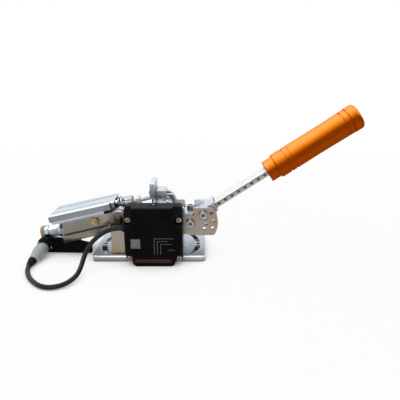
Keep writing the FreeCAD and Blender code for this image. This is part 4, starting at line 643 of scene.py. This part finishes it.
# Plug, its ring and the boot behind it: profiles are (height along the plug, radius) in mm
PLUG_PROFILE = [
    (0, 6.8), (0.7, 7.5), (3, 8.1), (3.5, 7.8), (4, 8.2), (7, 8.7), (11, 8.8), (15, 8.5), (18, 8.0),
    (19, 7.7), (27, 6.35), (28, 6.1), (30, 5.7), (30.6, 5.5), (PLUG_LENGTH, 5.2),
]
RING_PROFILE = [(-PLUG_RING, 5.2), (-3, 5.55), (-0.7, 5.55), (-0.1, 5.1), (0, 4.6)]
BOOT_END = [(9.2, 3.5), (9.6, 3.15)]
# Ribs of the boot, and the points of the groove behind each, measured from the rib's own
BOOT_RIBS = [(1.1, 4.6), (2.9, 4.35), (4.7, 4.1), (6.5, 3.85)]
RIB_GROOVE = [(0.3, -0.4), (1.1, -0.45), (1.4, -0.1)]
# Finger grips on the plug's taper: they lie between two heights and are sunk inside a rim, in mm;
# round the plug there is one at every pitch, as wide as the span, in degrees
FINGER_GRIPS = (19.2, 26.8)
GRIP_PITCH = 45
GRIP_SPAN = 26
GRIP_RIM = 0.35
GRIP_DEPTH = 0.45


def in_metres(profile):
    return [(mm(height), mm(radius)) for height, radius in profile]


def in_finger_grip(centre):
    """Whether a face of the plug belongs to a finger grip, by its centre."""
    start, end = FINGER_GRIPS
    around = math.degrees(math.atan2(centre.y, centre.x)) % GRIP_PITCH
    return mm(start) < centre.z < mm(end) and around < GRIP_SPAN


def plug_shell():
    """The moulded plug: fat behind its rim, slim at the cable, with sunk finger grips on its taper."""
    piece = drawn_up("plug_shell", in_metres(PLUG_PROFILE))
    open_edit(piece)
    choose_faces(piece, in_finger_grip)
    bpy.ops.mesh.inset(thickness=mm(GRIP_RIM), depth=-mm(GRIP_DEPTH))
    face_outwards()
    close_edit()
    put(piece, PLUG_START, PLUG_AXIS)
    smooth(piece, 40)
    return finished(piece, "frame", FINISHES["plug_grey"], ["sensor_plug"])


def plug_boot():
    """The black ring behind the plug and the ribbed strain relief that tapers along the bending cable."""
    profile = list(RING_PROFILE)
    for start, radius in BOOT_RIBS:
        profile.append((start, radius))
        profile += [(start + along, radius + outwards) for along, outwards in RIB_GROOVE]
    piece = drawn_up("plug_boot", in_metres(profile + BOOT_END), sides=36)
    guide = cable_line("boot_guide")
    apply_modifier(piece, "CURVE", object=guide, deform_axis="POS_Z")
    bpy.data.objects.remove(guide)
    smooth(piece, 40)
    return finished(piece, "frame", FINISHES["black_plastic"], ["plug_ring"])


# Return spring on the push rod's axis: places along it from the rod's origin, and sizes, in mm. It
# stands on the floor of the cap's recess, which stays, and the seat on the rod travels.
ROD_AXIS = leaning(ROD_LEAN)
ROD_ORIGIN = mm(-14.4, 0, 73.5)
COIL_START = -33.35
COIL_RISE = 12.2
COIL_RADIUS = 7.4
COIL_TURNS = 3.25
WIRE_RADIUS = 1.0
STEPS_A_TURN = 40


def return_spring():
    """The coil: a wire section swept by a screw, closed at both ends."""
    start_fresh()
    bpy.ops.mesh.primitive_circle_add(vertices=14, radius=mm(WIRE_RADIUS), location=(mm(COIL_RADIUS), 0, 0),
                                      rotation=(math.radians(90), 0, 0))
    piece = bpy.context.object
    piece.name = "spring_coil"
    fix_place()
    steps = int(COIL_TURNS * STEPS_A_TURN)
    apply_modifier(piece, "SCREW", angle=2 * math.pi * COIL_TURNS, screw_offset=mm(COIL_RISE), steps=steps,
                   render_steps=steps, axis="Z")
    open_edit(piece, "VERT")
    bpy.ops.mesh.select_non_manifold()
    bpy.ops.mesh.fill_holes(sides=0)
    face_outwards()
    close_edit()
    put(piece, ROD_ORIGIN + ROD_AXIS * mm(COIL_START), ROD_AXIS, BACK)
    smooth(piece, 50)
    finished(piece, "frame", FINISHES["spring_chrome"], ["return_spring"])
    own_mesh(piece)


# Floor, world and lamps; lengths are in metres
FLOOR_SIZE = 12
FLOOR_GREY = (0.88, 0.88, 0.88, 1)
# The floor glows white: a little less near the origin than far from it, and less in the object's shadow
GLOW_DISTANCES = (0.3, 1.0)
GLOW_SHARES = (0.92, 1.0)
SHADOW_REACH = 0.04
SHADOW_OPENNESS = (0.2, 0.85)
SHADOW_SHARES = (0.2, 1.0)
SKY_SIDES = (0.5, 0.47, 0.44, 1)
SKY_ABOVE = (0.78, 0.82, 0.88, 1)
SKY_STRENGTH = 0.55
LAMPS_AIM = Vector((0.03, 0, 0.05))


def backdrop_white(nodes):
    """1 where the camera, a mirror or glass looks straight at it."""
    path = nodes.node("ShaderNodeLightPath")
    seen = path.outputs["Is Camera Ray"]
    for kind in ("Is Glossy Ray", "Is Transmission Ray"):
        seen = nodes.combine("MAXIMUM", seen, path.outputs[kind])
    return seen


def floor():
    """A matt floor that looks white, with a soft shadow under the object."""
    start_fresh()
    bpy.ops.mesh.primitive_plane_add(size=FLOOR_SIZE, location=(0, 0, 0))
    ground = bpy.context.object
    ground.name = "studio_floor"
    material = bpy.data.materials.new("floor_white")
    material.use_nodes = True
    material.node_tree.nodes.clear()
    nodes = Nodes(material.node_tree)
    away = nodes.node("ShaderNodeVectorMath", {"operation": "LENGTH"})
    nodes.plug(away.inputs[0], nodes.node("ShaderNodeTexCoord").outputs["Object"])
    share = nodes.times(backdrop_white(nodes),
                        nodes.spread(away.outputs["Value"], *GLOW_DISTANCES, *GLOW_SHARES))
    share = nodes.times(share, nodes.spread(nodes.openness(SHADOW_REACH), *SHADOW_OPENNESS, *SHADOW_SHARES))
    matt = nodes.node("ShaderNodeBsdfDiffuse", Color=FLOOR_GREY)
    glow = nodes.node("ShaderNodeEmission")
    nodes.node("ShaderNodeOutputMaterial", Surface=nodes.mix_shaders(share, matt, glow))
    ground.data.materials.append(material)


def world():
    """White behind the object; the light itself comes cool from above and warm and dim from the sides."""
    sky = bpy.data.worlds.new("studio")
    bpy.context.scene.world = sky
    sky.use_nodes = True
    sky.node_tree.nodes.clear()
    nodes = Nodes(sky.node_tree)
    seen = backdrop_white(nodes)
    direction = nodes.node("ShaderNodeTexCoord").outputs["Generated"]
    parts = nodes.node("ShaderNodeSeparateXYZ", Vector=direction)
    ramp = nodes.node("ShaderNodeValToRGB", Fac=parts.outputs["Z"])
    sides, above = ramp.color_ramp.elements
    sides.position, sides.color = 0.0, SKY_SIDES
    above.position, above.color = 0.8, SKY_ABOVE
    light = nodes.node("ShaderNodeBackground", Color=ramp.outputs[0], Strength=SKY_STRENGTH)
    white = nodes.node("ShaderNodeBackground", Color=(1, 1, 1, 1))
    nodes.node("ShaderNodeOutputWorld", Surface=nodes.mix_shaders(seen, light, white))


def lamp(name, place, size, power, tint):
    """A square lamp that points at the object."""
    data = bpy.data.lights.new(name, "AREA")
    data.size, data.energy, data.color = size, power, tint
    light = bpy.data.objects.new(name, data)
    light.location = place
    light.rotation_euler = (LAMPS_AIM - Vector(place)).to_track_quat("-Z", "Y").to_euler()
    bpy.context.scene.collection.objects.link(light)


def make_light():
    bpy.context.scene.view_settings.view_transform = "Standard"
    world()
    floor()
    lamp("softbox_above", place=(-0.25, 0.15, 1.1), size=1.6, power=9.0, tint=(0.95, 0.98, 1.0))
    lamp("fill_front", place=(-0.2, -1.3, 0.5), size=0.6, power=3.0, tint=(1.0, 0.93, 0.86))


set_camera()
sheath = cable_curve()
finished(sheath, "frame", FINISHES["rubber_black"], ["sensor_cable"])
plug = plug_shell()
boot = plug_boot()
make_light()
dress_nodes()
return_spring()
